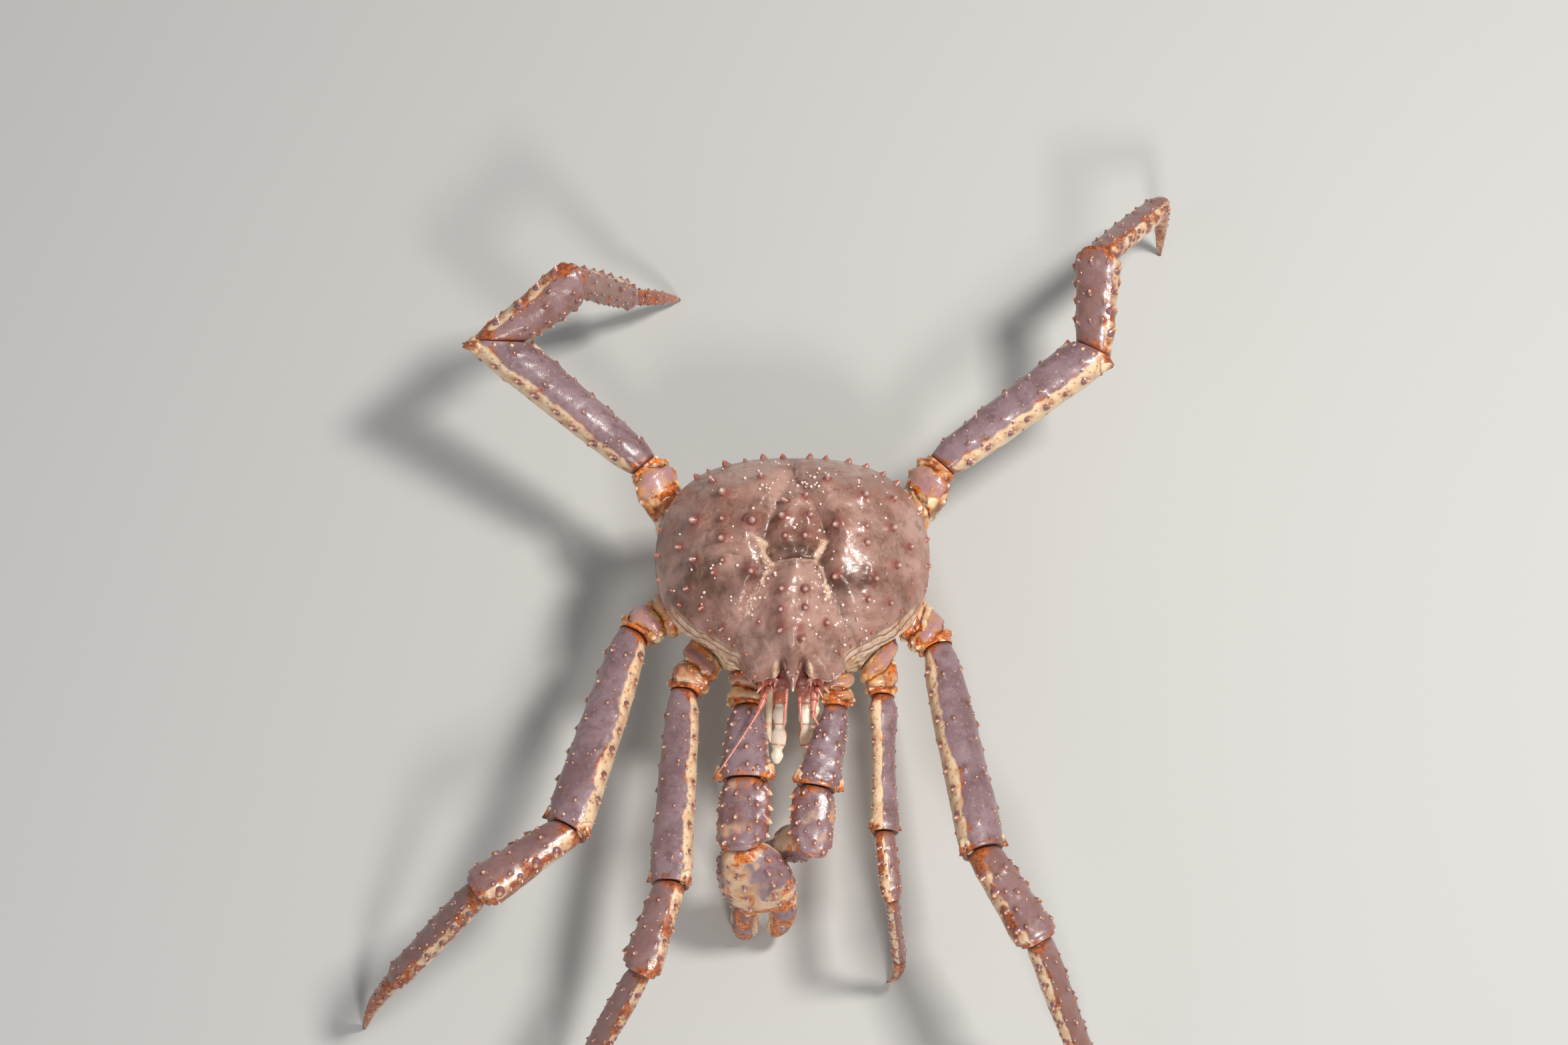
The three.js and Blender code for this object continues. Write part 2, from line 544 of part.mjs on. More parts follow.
function addLimb(name, { lengths, size: [wide, deep], pincer, lean, roll, twist, pose }, number) {
  const side = name.startsWith('left') ? 1 : -1;
  const isClaw = name.endsWith('claw');
  const order = Object.keys(lengths);
  let { start, face: startFace } = hipOf(name, side);
  let frame = null;
  order.forEach((kind, place) => {
    const axis = directionOf(bearingOf(kind, start.z, lengths, pose));
    const end = start.clone().addScaledVector(axis, lengths[kind]);
    const isFirst = place === 0;
    const isLast = place === order.length - 1;
    frame = isFirst ? turnedAlong(levelFrame(axis, side), rad(roll)) : bentTo(axis, frame);
    const next = isLast ? axis : directionOf(bearingOf(order[place + 1], end.z, lengths, pose));
    const endFace = kind === 'dactyl' ? new THREE.Vector3(0, 0, -1) : axis.clone().add(next).normalize();
    const joints = { start, startFace, endFace, startGap: isFirst ? gap : gap / 2, endGap: isLast ? 0 : gap / 2 };
    const seed = number * 1000 + place * 200;
    if (kind === 'chela') {
      const [palmWide, palmDeep] = pincer;
      const chela = { ...joints, ...turnedAlong(frame, rad(twist)), length: lengths.chela, lean };
      addChela(name, { ...chela, wide: palmWide, deep: palmDeep }, seed);
    } else {
      const bow = kind === 'dactyl' ? dactylBow : 0;
      const form = (ownForms[name] ?? legForms)[kind];
      const part = section({ ...joints, ...frame, length: lengths[kind], wide, deep, form, bow });
      const paint = isClaw ? paints.claw : paints.limb;
      addPart(`${name}_${kind}`, fuse(sectionSkin(part), rowSpines(part, spineRows[kind], seed)), paint);
    }
    start = end;
    startFace = endFace;
  });
}

// The palm with its fixed finger, and the finger that opens beside it
function addChela(name, chela, seed) {
  const length = chela.length * (1 - fingerShare);
  const part = section({ ...chela, length, form: clawForms.palm, bow: 0 });
  const fingers = {
    ...chela,
    end: chela.start.clone().addScaledVector(chela.axis, length),
    reach: chela.length * fingerShare,
    wide: chela.wide * palmWidth,
    deep: chela.deep * palmDepth,
  };
  const opening = { ...fingers, end: fingers.end.clone().addScaledVector(chela.axis, gap) };
  const knobs = rowSpines(part, spineRows.palm, seed);
  addPart(`${name}_palm`, fuse(sectionSkin(part), [...knobs, finger(fingers, -1, fingerRoot)]), paints.claw);
  addPart(`${name}_finger`, finger(opening, 1, 0), paints.claw);
}

addPart('shell', shell(), paints.shell);
addPart('trunk', trunk(0), paints.trunk);
addPart('tail_flap', tailFlapSolid(), paints.trunk);
for (const [word, side] of [['right', -1], ['left', 1]]) {
  addPart(`${word}_eye`, feeler(eyeRows, side), paints.eye);
  addPart(`${word}_antennule`, feeler(antennuleRows, side), paints.feeler);
  addPart(`${word}_antenna`, antenna(word, side), paints.feeler);
  addPart(`${word}_mouthpart`, feeler(mouthRows, side), paints.feeler);
}
Object.entries(limbs).forEach(([name, limb], number) => addLimb(name, limb, number));

// The origin lies on the floor below the middle of the whole outline
const middle = new THREE.Box3().setFromObject(crab).getCenter(new THREE.Vector3());
crab.position.set(-middle.x, -middle.y, 0);

export default crab;
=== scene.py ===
# A red king crab, life size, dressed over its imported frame.
# Millimetres in the crab's own frame: head towards -Y, its own right side on -X, heights from the
# side edge of the shell. Points become the scene's metres when a piece is made.

import bpy
import numpy as np
from mathutils import Matrix, Vector


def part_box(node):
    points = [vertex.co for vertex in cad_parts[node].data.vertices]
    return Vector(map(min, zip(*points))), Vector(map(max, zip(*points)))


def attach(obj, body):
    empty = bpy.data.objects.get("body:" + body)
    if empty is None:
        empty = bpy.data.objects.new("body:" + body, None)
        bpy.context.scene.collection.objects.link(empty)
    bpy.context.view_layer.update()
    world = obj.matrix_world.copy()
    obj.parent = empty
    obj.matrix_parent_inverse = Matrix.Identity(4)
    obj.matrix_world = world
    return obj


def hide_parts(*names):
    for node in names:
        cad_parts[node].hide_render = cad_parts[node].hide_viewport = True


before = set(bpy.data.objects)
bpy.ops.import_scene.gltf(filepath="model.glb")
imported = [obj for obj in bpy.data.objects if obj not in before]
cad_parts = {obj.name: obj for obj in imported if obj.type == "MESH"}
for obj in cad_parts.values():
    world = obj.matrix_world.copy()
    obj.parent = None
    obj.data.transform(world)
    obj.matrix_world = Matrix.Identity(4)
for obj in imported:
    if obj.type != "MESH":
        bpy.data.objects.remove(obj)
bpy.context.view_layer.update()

# Driving sizes, as in the frame
MM = 0.001
EDGE_LEVEL = 112            # side edge of the shell above the floor
DOME_RISE = 44              # middle of the shell above its side edge
DOME_FULLNESS = 2.4
DOME_SHOULDER = 0.75
EDGE_FADE = 6
WALL_DROP = 16              # foot of the shell wall below the side edge
TRUNK_DEPTH = 31
HIP_DROP = 32               # middle of the leg bases below the side edge
GAP = 0.3
SECTION_ROUNDNESS = 2.4

# Shell edge: angle from the tail, distance from the middle, height; the other half is a mirror
SHELL_EDGE = [
    (0, 75, 5), (25, 80, 5), (45, 89, 3), (62, 93, 1), (90, 91.5, 0), (105, 90.5, 0), (120, 87, 1),
    (135, 80.5, 3), (150, 79.5, 7), (158, 85, 10), (165, 88, 12), (172.5, 81, 13), (180, 84, 17),
]

# Distance of the edge from the middle without its lobes at the front, which the inner shell follows
INNER_EDGE = [
    (0, 75), (25, 80), (45, 89), (62, 93), (90, 91.5), (105, 90.5), (120, 87), (135, 82), (150, 81),
    (165, 83), (180, 83.5),
]

LOBES_FROM = 0.84           # share of the way out at which the front's lobes begin

# Notches over the eyes and lobes beside them: angle, half width, reach
ORBITS = [(175.4, 1.8, -5.4), (171.6, 1.8, 3.4)]
ORBIT_SHADE_HALF = 2.4            # half width of the painted shade in a notch over an eye, in degrees

# Regions of the shell: how far each reaches from the middle line on the way from head to tail, and
# for the gill regions where they begin
REGION_MIDDLE = 2
STOMACH_REACH = [(-95, 8), (-76, 10), (-60, 17), (-44, 22), (-30, 18), (-20, 14), (-12, 12)]
HEART_REACH = [(-12, 9), (-8, 13), (-2, 18), (3, 20), (14, 16.5), (22, 13.5), (30, 10), (41, 4), (46, 1)]
GILL_START = [
    (-75, 46), (-55, 38), (-42, 29), (-33, 25), (-22, 20), (-12, 17), (-2, 20), (3, 21.5), (14, 18), (22, 15),
    (30, 11.5), (41, 5.5), (48, 3), (60, 2.5), (76, 2.5),
]
STOMACH_RISE, HEART_RISE, GILL_RISE = 8, 7, 8
STOMACH_SLOPE, HEART_SLOPE, GILL_SLOPE = (-4, 15), (-2, 9), (-2.5, 13)     # across each region's edge
STOMACH_END, HEART_START, HEART_END = (-15, -8), (-11.5, 1.5), (30, 48)   # from head to tail
GILL_FRONT, GILL_REAR, GILL_OUTER = (-72, -34), (34, 78), (48, 90)
GROOVE_FRONT, GROOVE_REAR = (-40, -14), (4, 30)

# Swellings and dimples: x, y, half width, half length, height
FINE_RELIEF = [
    (2, -12.4, 13, 2.2, 2.6),     # ridge in front of the heart region
    (-16, -6, 4.5, 7, -3.5),      # pits between the regions
    (19, -5, 4.5, 7, -3.5),
    (-23, -66, 5, 8, -3),         # dimples beside the rostrum
    (23, -67, 5, 8, -3),
    (0, -72, 5, 6, 2.6),          # knobs at the root of the rostrum
    (-3.5, -70, 2.4, 3.4, 1.6),
    (5, -71, 2.4, 3.4, 1.4),
    (-40, -52, 8, 8, 2.4),
    (42, -50, 8, 8, 2.4),
    (-36, 42, 15, 12, 1.8),
    (38, 40, 16, 12, 1.6),
    (-56, -14, 14, 12, 1.8),
    (56, -12, 14, 12, 1.8),
    (-34, 8, 9, 14, 1.6),
    (36, 8, 9, 14, 1.6),
]

# Ridges and furrows, each along a line through points: points, half width, height, cream, and painted shade
# in the furrow
CREASES = [
    ([(2, 72), (1.5, 60), (2, 47)], 1, -2, 0, 0.6),
    ([(-21, 2), (-18.5, -6), (-15.5, -14)], 3.6, 1.6, 0.8, 0),
    ([(-15.5, -16), (-19, -26)], 2.2, 1.2, 0.7, 0),
    ([(20, 1), (17.5, -6), (15, -12)], 3.2, 1.5, 0.8, 0),
    ([(18, -17), (21.5, -26), (25, -35)], 2, 1.2, 0.7, 0),
    ([(-10, -12), (-2, -12.4), (8, -12.6), (15, -11)], 1.4, 0.5, 0.6, 0),
    ([(-22, -30), (-27, -39), (-31, -46)], 2, 0.8, 0.45, 0),
]

# Brown patches of the shell: x, y, half width, half length, strength. The patch at 2, -4 is painted shade on
# the steep front slope of the heart region; the rest are the shell's own brown.
BROWN_AND_SHADE_PATCHES = [
    (-61, -12, 15, 12, 1), (-27, -22, 9, 9, 1), (29, -26, 10, 9, 1), (49, -24, 14, 11, 1),
    (62, 4, 15, 14, 0.65), (-26, -66, 9, 12, 0.7), (26, -66, 9, 12, 0.7), (-20, 24, 6, 20, 0.5),
    (-38, 28, 14, 12, 0.35), (50, 26, 16, 12, 0.3), (0, -30, 8, 22, 0.3), (2, -4, 15, 5.5, 1),
    (-18, -10, 8, 10, 0.8), (18, -10, 8, 10, 0.8), (-46, -30, 12, 9, 0.7), (-74, -30, 10, 14, 0.6),
    (72, -28, 10, 14, 0.6), (2, 10, 10, 9, 0.5),
]
BROW_LOBE = (10.8, -81, 2.8, 5.5, 1)        # the same columns, on both sides
# Dimple in each notch over an eye, which is also painted dark as shade
ORBIT_PIT = (6.6, -77, 2.8, 3.4, 1)
HEART_HOLLOW_SHADE = (2, -10.5, 13, 2.4, 1)             # painted shade in the hollow in front of the heart region

# Roughness: size of the lumps, their height, and a seed
SHELL_LUMPS = [(24, 1.1, 8), (11, 0.6, 1), (4.5, 0.3, 2), (1.9, 0.14, 3)]
RAGGED_LUMPS = [(5, 0.55, 41), (2, 0.45, 43)]
LIMB_LUMPS = [(13, 0.4, 0), (5, 0.2, 1), (2.2, 0.08, 2)]
WANDER_LUMPS = [(18, 0.12, 3), (4, 0.08, 4)]
FOLD_LUMPS = [(11, 0.07, 61), (4, 0.03, 62)]
PALM_LUMPS = [(17, 1, 5), (6, 0.5, 6)]
FINGER_LUMPS = [(4, 0.3, 11), (1.8, 0.12, 12)]
TAIL_LUMPS = [(7, 0.3, 21), (2.4, 0.12, 22)]
TRUNK_LUMPS = [(6, 0.01, 33), (2.4, 0.005, 34)]     # heights as shares of the trunk's reach

# Spines of the shell as they stand: x, y, height
SHELL_SPINES = [
    # Heart region
    (-4, 29, 5), (7, 33, 4.6), (-6, 17, 6), (10, 18, 5), (-5, 3, 4.6), (8, 3, 5.4),
    # Stomach region
    (-6, -34, 5), (8, -35, 5.2), (-7, -47, 4.6), (8, -46, 4.6), (-7, -57, 4.6), (5, -58, 4.8),
    (-22, -52, 3), (22, -53, 4.2), (-46, -51, 3),
    # Right gill region
    (-53, 50, 5), (-45, 36, 7), (-21, 48, 4.6), (-64, 20, 6.6), (-46, 17, 4.2), (-28, 14, 6.6),
    (-75, 5, 4.2), (-46, 3, 6), (-65, -7, 4.8), (-46, -12, 3.4), (-52, -19, 3.8), (-28, -20, 5.2),
    (-70, -24, 3.6), (-60, -38, 3.4),
    # Left gill region
    (23, 46, 5.6), (47, 35, 5.6), (30, 12, 6), (48, 12, 3.8), (65, 15, 5.6), (48, 0, 5.6),
    (77, 6, 4.2), (68, -10, 5), (29, -22, 5.6), (54, -22, 4.8), (49, -35, 4), (66, 38, 4.4),
    (64, -34, 3.6),
]

# Spines of the shell's edge, angles from the tail, the crab's right side negative, and height
EDGE_SPINES = [
    (-5, 4.6), (-15, 5), (-24, 3.2), (-33, 5.4), (-41, 3), (-46.5, 4.8), (-57, 3.2), (-66, 3), (-74.5, 3.8),
    (-86, 4), (-97, 3.8), (-105, 2.6), (-113, 3.6), (-122, 2.4), (-133, 3.4), (-141, 2.4), (-148, 2.8),
    (-156, 3.4), (-163, 3), (9, 5), (17, 4), (28, 5), (36, 4.4), (44, 4), (51, 4.8), (59, 3.2), (67, 4.2),
    (79, 4.2), (91, 4.4), (101, 3), (109, 2.8), (117, 3.6), (126, 2.4), (135, 3.6), (142, 2.8), (148, 3.4),
    (155, 3.2), (162, 3),
]

# Clusters of pale beads on the shell: x, y, spread, how many
BEAD_CLUSTERS = [
    (-17, 46, 6, 9), (18, 46, 9, 16), (3, 38, 8, 7), (12, 12, 9, 14), (-6, 17, 6, 6), (2, -2, 7, 5),
    (-40, -2, 12, 8), (38, 24, 12, 8), (-56, -27, 10, 8), (44, -26, 10, 7), (24, -42, 8, 10),
    (34, -50, 9, 12), (50, -48, 7, 8), (-24, -40, 8, 8), (0, -52, 14, 12), (-2, 62, 22, 16), (-60, 34, 14, 8),
    (62, 26, 14, 8), (0, 0, 60, 44), (-18, -14, 5, 10), (22, -14, 4, 8),
]

SKIRT_FROM, SKIRT_TO = 104, 157     # angles between which the pale side wall shows from above
SKIRT_WIDTH = 5
SKIRT_SLOPE = 0.8
FACE_FRONT = -74            # upright face that carries the eyes and feelers
FACE_HALF_WIDTH = 27

# Trunk and tail flap
TRUNK_OUTLINE = [(15, -70), (45, -63), (69, -36), (78, 6), (60, 50), (30, 64)]
TRUNK_MIDDLE_Y = -3
LIMB_ORDER = ["claw", "front_leg", "middle_leg", "rear_leg"]
TAIL_FLAP = [
    (72, 22, 40), (69, 34, 49), (60, 42, 53), (44, 42, 54), (22, 36, 54), (2, 26, 53), (-14, 16, 51),
    (-24, 7, 48),
]

# Spines of the brow, and the forked spine on the rostrum: place, direction and length
BROW_SPINES = [
    (11.4, -85.5, 13.4, 0.15, -0.95, 0.2, 3.8), (26, -80, 11.5, 0.25, -0.95, 0.25, 4.4),
    (19.5, -84, 12.4, 0.2, -0.95, 0.2, 2.8), (33, -76, 9.5, 0.4, -0.9, 0.2, 3),
]
FORKED_SPINE = [
    (-2.6, -80, 20, -0.25, -0.7, 0.75, 4.2), (2.6, -80, 20, 0.25, -0.7, 0.75, 4.2),
    (0, -84, 18.4, 0, -0.75, 0.7, 4.4),
]

# Forward reaching parts: x on the crab's left, y, height, width, depth
ROSTRUM_ROWS = [
    (0, -68, 21, 17, 9), (0, -76, 18.5, 12.5, 9), (0, -82, 16.4, 8.4, 8), (0, -86, 16.4, 5.4, 6.4),
    (0, -90, 17.6, 3.2, 4), (0, -94, 19.4, 1.2, 1.4),
]
EYE_ROWS = [
    (6, -72, 1, 5.4, 6), (6.4, -79, 2, 5.6, 6), (6.8, -83, 3, 7.2, 7.8), (7, -87, 3.4, 6.6, 7.4),
    (7, -89.5, 3.4, 2.4, 2.8),
]
ANTENNULE_ROWS = [
    (3.4, -72, -6, 3.2, 3.2), (4, -84, -5, 3, 3), (4.6, -95, -4, 2.4, 2.4), (5.4, -104, -5, 1.8, 1.8),
    (6, -112, -8, 0.9, 0.9),
]
ANTENNA_ROWS = {
    "right": [
        (15, -72, -3, 6.6, 6.4), (17.5, -84, -2, 5.2, 5), (19.6, -94, 0, 4.4, 4.2), (22.6, -102, 1.5, 3, 2.8),
        (24, -105, 2, 1.9, 1.8), (35, -124, 4.5, 1.4, 1.3), (46, -142, 7, 1.1, 1), (50, -148, 7, 0.7, 0.6),
    ],
    "left": [
        (15, -72, -3, 6.6, 6.4), (14.6, -84, -2, 5.4, 5), (14, -94, -1, 4.6, 4.2), (13.4, -102, 0, 3.2, 3),
        (14, -106, 0, 2.2, 2), (17, -111, 0, 1, 0.9),
    ],
}
ANTENNA_SPINES = [
    (19, -79, 1, 1, -0.5, 0.3, 8), (19, -83, 2, 0.7, -1, 0.2, 9), (17, -88, 2, 0.6, -1, 0.1, 6),
    (12, -82, 2, -0.6, -1, 0.3, 5), (16, -77, 3, 0.4, -0.8, 0.7, 5),
]
ANTENNA_SCALES = [
    (13.5, -77, 2, 0.2, -1, 0.4, 9), (16.5, -79, 1, 0.5, -1, 0.5, 8), (12, -80, -2, 0, -1, 0.1, 8),
]
EXOPOD_ROWS = [
    (15, -72, -26, 5, 3), (15.6, -86, -30, 4.8, 2.6), (16, -98, -33, 4, 2.2), (15.6, -106, -36, 3, 1.6),
    (15, -111, -37, 1.2, 1),
]
MOUTH_ROWS = [
    (9, -68, -32, 10, 9), (9, -84, -37, 10, 8), (8.8, -96, -41, 8.6, 7.4), (9.2, -104, -43, 9.6, 7.6),
    (10, -112, -45, 8.4, 6.6), (10.6, -118, -47, 7.6, 5.6), (10.8, -122, -48.5, 3.6, 3),
]

# Limbs: lengths of the sections, width and depth, roll, and bearing and rise of each section
BIG_CLAW = {"base": 24, "merus": 58, "carpus": 42, "chela": 93}
SMALL_CLAW = {"base": 24, "merus": 60, "carpus": 37, "chela": 72}
FRONT_LEG = {"base": 36, "merus": 146, "carpus": 66, "propodus": 96, "dactyl": 66}
REGROWN_LEG = {"base": 34, "merus": 100, "carpus": 46, "propodus": 68, "dactyl": 38}
MIDDLE_LEG = {"base": 44, "merus": 155, "carpus": 73, "propodus": 100, "dactyl": 68}
REAR_LEG = {"base": 61, "merus": 130, "carpus": 68, "propodus": 90, "dactyl": 62}
LIMBS = {
    "right_claw": dict(
        lengths=BIG_CLAW, size=(31, 25), pincer=(33, 26), lean=-0.32, roll=12, twist=0,
        pose=dict(base=(270, 8), merus=(268.5, 16), carpus=(266.5, -12), chela=(304.5, -60)),
    ),
    "left_claw": dict(
        lengths=SMALL_CLAW, size=(26, 21), pincer=(20, 18), lean=0.2, roll=12, twist=60,
        pose=dict(base=(268, 8), merus=(257, 6), carpus=(264, -6), chela=(136, -63)),
    ),
    "right_front_leg": dict(
        lengths=FRONT_LEG, size=(26, 21), roll=24,
        pose=dict(base=(244, 13), merus=(266.8, 12), carpus=(253, 10), propodus=(231, -50)),
    ),
    "left_front_leg": dict(
        lengths=REGROWN_LEG, size=(18, 14.5), roll=24, strip=0.3,
        pose=dict(base=(275, 9), merus=(270.3, 8), carpus=(276, 2), propodus=(284, -70), dactyl=(215,)),
    ),
    "right_middle_leg": dict(
        lengths=MIDDLE_LEG, size=(30, 24), roll=24,
        pose=dict(base=(219, 15), merus=(254, 12), carpus=(218.5, 8), propodus=(214, -46)),
    ),
    "left_middle_leg": dict(
        lengths=MIDDLE_LEG, size=(29, 24), roll=24,
        pose=dict(base=(303, 14), merus=(280.6, 10), carpus=(299, 8), propodus=(297, -46)),
    ),
    "right_rear_leg": dict(
        lengths=REAR_LEG, size=(30, 25), roll=16,
        pose=dict(base=(122, 15), merus=(142, 12), carpus=(38, 6), propodus=(30, -62)),
    ),
    "left_rear_leg": dict(
        lengths=REAR_LEG, size=(30, 25), roll=16,
        pose=dict(base=(58, 15), merus=(37.2, 4), carpus=(86, 6), propodus=(52, -34.5), dactyl=(285,)),
    ),
}

# Section forms: place along the section, width and depth as shares of the limb's own
LEG_FORMS = {
    "base": [
        (0, 1.08, 0.96), (0.3, 1.04, 0.92), (0.55, 0.97, 0.95), (0.85, 0.88, 0.86), (1, 0.74, 0.74),
    ],
    "merus": [
        (0, 0.66, 0.68), (0.08, 0.8, 0.84), (0.3, 0.92, 0.96), (0.65, 1, 1), (0.9, 1.06, 1.02),
        (1, 0.94, 0.92),
    ],
    "carpus": [
        (0, 0.78, 0.78), (0.12, 0.82, 0.85), (0.5, 0.89, 0.93), (0.82, 1, 0.98), (0.93, 0.98, 0.94),
        (1, 0.8, 0.8),
    ],
    "propodus": [
        (0, 0.6, 0.62), (0.08, 0.64, 0.68), (0.4, 0.66, 0.68), (0.8, 0.6, 0.6), (0.94, 0.58, 0.6),
        (1, 0.46, 0.48),
    ],
    "dactyl": [
        (0, 0.36, 0.38), (0.15, 0.38, 0.42), (0.5, 0.3, 0.33), (0.8, 0.19, 0.2), (1, 0.1, 0.1),
    ],
}
REGROWN_FORMS = {
    "base": [
        (0, 1.42, 1.2), (0.3, 1.36, 1.16), (0.55, 1.24, 1.12), (0.85, 1.06, 1), (1, 0.9, 0.86),
    ],
    "merus": [
        (0, 0.8, 0.8), (0.1, 1.06, 1.04), (0.3, 0.9, 0.92), (0.5, 0.84, 0.9), (0.75, 0.94, 0.96),
        (0.93, 1.1, 1.04), (1, 1, 0.96),
    ],
    "carpus": [
        (0, 0.74, 0.76), (0.15, 0.76, 0.8), (0.5, 0.74, 0.8), (0.8, 0.78, 0.82), (1, 0.6, 0.64),
    ],
    "propodus": [
        (0, 0.48, 0.52), (0.15, 0.5, 0.56), (0.5, 0.46, 0.52), (0.9, 0.52, 0.54), (1, 0.44, 0.48),
    ],
    "dactyl": [
        (0, 0.4, 0.42), (0.15, 0.48, 0.52), (0.5, 0.38, 0.42), (0.8, 0.22, 0.24), (1, 0.12, 0.12),
    ],
}
CLAW_FORMS = {
    "base": [
        (0, 0.76, 0.84), (0.3, 0.7, 0.78), (0.55, 0.72, 0.8), (0.85, 0.66, 0.72), (1, 0.6, 0.64),
    ],
    "merus": [
        (0, 0.62, 0.64), (0.1, 0.72, 0.78), (0.4, 0.88, 0.94), (0.75, 1.02, 1.04), (0.93, 1.12, 1.06),
        (1, 1, 0.98),
    ],
    "carpus": [
        (0, 0.8, 0.8), (0.12, 0.97, 0.93), (0.5, 1.03, 1), (0.86, 1, 0.98), (1, 0.86, 0.86),
    ],
    "palm": [
        (0, 0.6, 0.66), (0.16, 1.06, 0.98), (0.5, 1.42, 1.2), (0.82, 1.42, 1.16), (1, 1.28, 0.96),
    ],
}
OWN_FORMS = {"right_claw": CLAW_FORMS, "left_claw": CLAW_FORMS, "left_front_leg": REGROWN_FORMS}
DACTYL_BOW = 3.5

# Spine rows: angle round the section from its front edge over the back, first and last place, how
# many, height on a limb of the middle leg's width, radius as a share of the height, redness
LEG_ROWS = {
    "base": [
        (12, 0.7, 0.86, 2, 3, 0.7, 0.7), (168, 0.7, 0.86, 2, 3, 0.7, 0.7),
        (60, 0.2, 0.7, 3, 1.3, 0.7, 0.5),
    ],
    "merus": [
        (18, 0.12, 0.84, 7, 2.7, 0.62, 1), (75, 0.16, 0.88, 4, 1.9, 0.6, 0.3),
        (120, 0.14, 0.86, 5, 2, 0.55, 0.4), (168, 0.12, 0.8, 6, 2.4, 0.55, 0.9),
        (44, 0.2, 0.85, 4, 1.1, 0.6, 0.4), (146, 0.1, 0.9, 4, 1.2, 0.6, 0.5),
        (190, 0.1, 0.9, 6, 1.2, 0.6, 0.8), (-8, 0.1, 0.9, 6, 1.1, 0.6, 0.8),
    ],
    "carpus": [
        (20, 0.26, 0.84, 4, 3.8, 0.55, 1), (90, 0.24, 0.82, 3, 2.4, 0.55, 0.4),
        (165, 0.26, 0.84, 4, 2.8, 0.55, 0.9), (4, 0.2, 0.9, 6, 2.4, 0.6, 1),
        (55, 0.3, 0.85, 4, 1.8, 0.6, 0.4), (128, 0.2, 0.85, 4, 1.8, 0.6, 0.5),
        (185, 0.2, 0.9, 5, 1.6, 0.6, 0.8),
    ],
    "propodus": [
        (15, 0.16, 0.9, 6, 2.8, 0.55, 1), (95, 0.18, 0.88, 4, 1.9, 0.6, 0.5),
        (170, 0.16, 0.9, 5, 2.2, 0.55, 0.9), (2, 0.1, 0.95, 12, 1.7, 0.6, 1),
        (55, 0.15, 0.9, 6, 1.5, 0.6, 0.6), (130, 0.15, 0.9, 6, 1.5, 0.6, 0.7),
        (186, 0.1, 0.9, 9, 1.3, 0.6, 1),
    ],
    "dactyl": [
        (90, 0.14, 0.3, 2, 1.6, 0.6, 0.8), (20, 0.1, 0.5, 4, 1.2, 0.6, 1),
        (160, 0.1, 0.5, 4, 1.2, 0.6, 1),
    ],
}
CLAW_ROWS = {
    "base": LEG_ROWS["base"],
    "merus": [
        (18, 0.3, 0.8, 3, 3, 0.55, 0.9), (75, 0.16, 0.88, 4, 2.6, 0.55, 0.5),
        (120, 0.14, 0.86, 5, 2.4, 0.55, 0.5), (168, 0.2, 0.8, 5, 1.6, 0.6, 0.6),
        (50, 0.2, 0.9, 4, 1.7, 0.6, 0.5), (146, 0.2, 0.9, 5, 1.5, 0.6, 0.5),
    ],
    "carpus": [
        (12, 0.2, 0.84, 4, 5, 0.55, 1), (90, 0.24, 0.82, 3, 2.6, 0.55, 0.6),
        (165, 0.26, 0.84, 4, 1.8, 0.6, 0.6), (45, 0.15, 0.85, 4, 2.8, 0.55, 0.7),
        (125, 0.15, 0.9, 4, 2.4, 0.55, 0.6), (70, 0.3, 0.7, 2, 1.6, 0.6, 0.5),
        (148, 0.2, 0.9, 5, 1.6, 0.6, 0.6), (185, 0.2, 0.9, 6, 1.6, 0.6, 0.7),
    ],
    "palm": [
        (5, 0.3, 0.88, 5, 2, 0.6, 0.8), (55, 0.34, 0.86, 4, 2.3, 0.6, 0.7),
        (100, 0.3, 0.86, 4, 2.3, 0.6, 0.6), (145, 0.34, 0.86, 4, 2, 0.6, 0.6),
        (178, 0.28, 0.9, 6, 1.8, 0.6, 0.9), (30, 0.2, 0.9, 4, 1.8, 0.6, 0.6),
        (122, 0.2, 0.9, 4, 1.5, 0.6, 0.6), (164, 0.15, 0.95, 8, 1.6, 0.6, 0.8),
        (-160, 0.15, 0.95, 8, 1.6, 0.6, 1),
    ],
}
ROW_WIDTH = 28
CREAM_STRIP = 0.62          # how far round towards the front edge the cream strip begins, as a cosine
CLAW_STRIP = 0.94
SPINE_LEAN = 0.4
SHARP_FROM = 0.75           # redness from which a limb's spine is sharp
SPINE_JITTER = dict(place=0.016, angle=7, height=0.22)

# Claw fingers, as shares of the claw's length, width and depth
FINGER_SHARE = 0.4
FINGER_SET = dict(root=0.26, tip=0.22, bow=0.08)
FINGER_FORM = [
    (-0.3, 0.42, 0.8), (0, 0.46, 0.84), (0.3, 0.45, 0.8), (0.6, 0.4, 0.68), (0.85, 0.31, 0.5),
    (1, 0.14, 0.2),
]
PALM_WIDTH = 1.3
PALM_DEPTH = 1
KNOB_HEIGHTS = [1.4, 2, 1.7, 2.1, 1.6, 1.2]
KNOB_WIDTH = 40             # width of the pincer that these heights belong to
FINGER_STEP, FINGER_SIDES, KNOB_SIDES = 0.7, 44, 12
FIXED_FINGER_FROM, OPENING_FINGER_FROM = -0.22, -0.12

# Masks laid over the ground colour. The dark mask for grooves, wrinkles, notches and hollows is painted
# shade, and it also carries real dark dots, freckles and veins.
MASKS = ["cream", "stain", "brown", "joint", "pit", "core", "tip"]


# Small helpers
def unit(vectors):
    """The same directions with a length of 1."""
    return vectors / np.linalg.norm(vectors, axis=-1, keepdims=True)


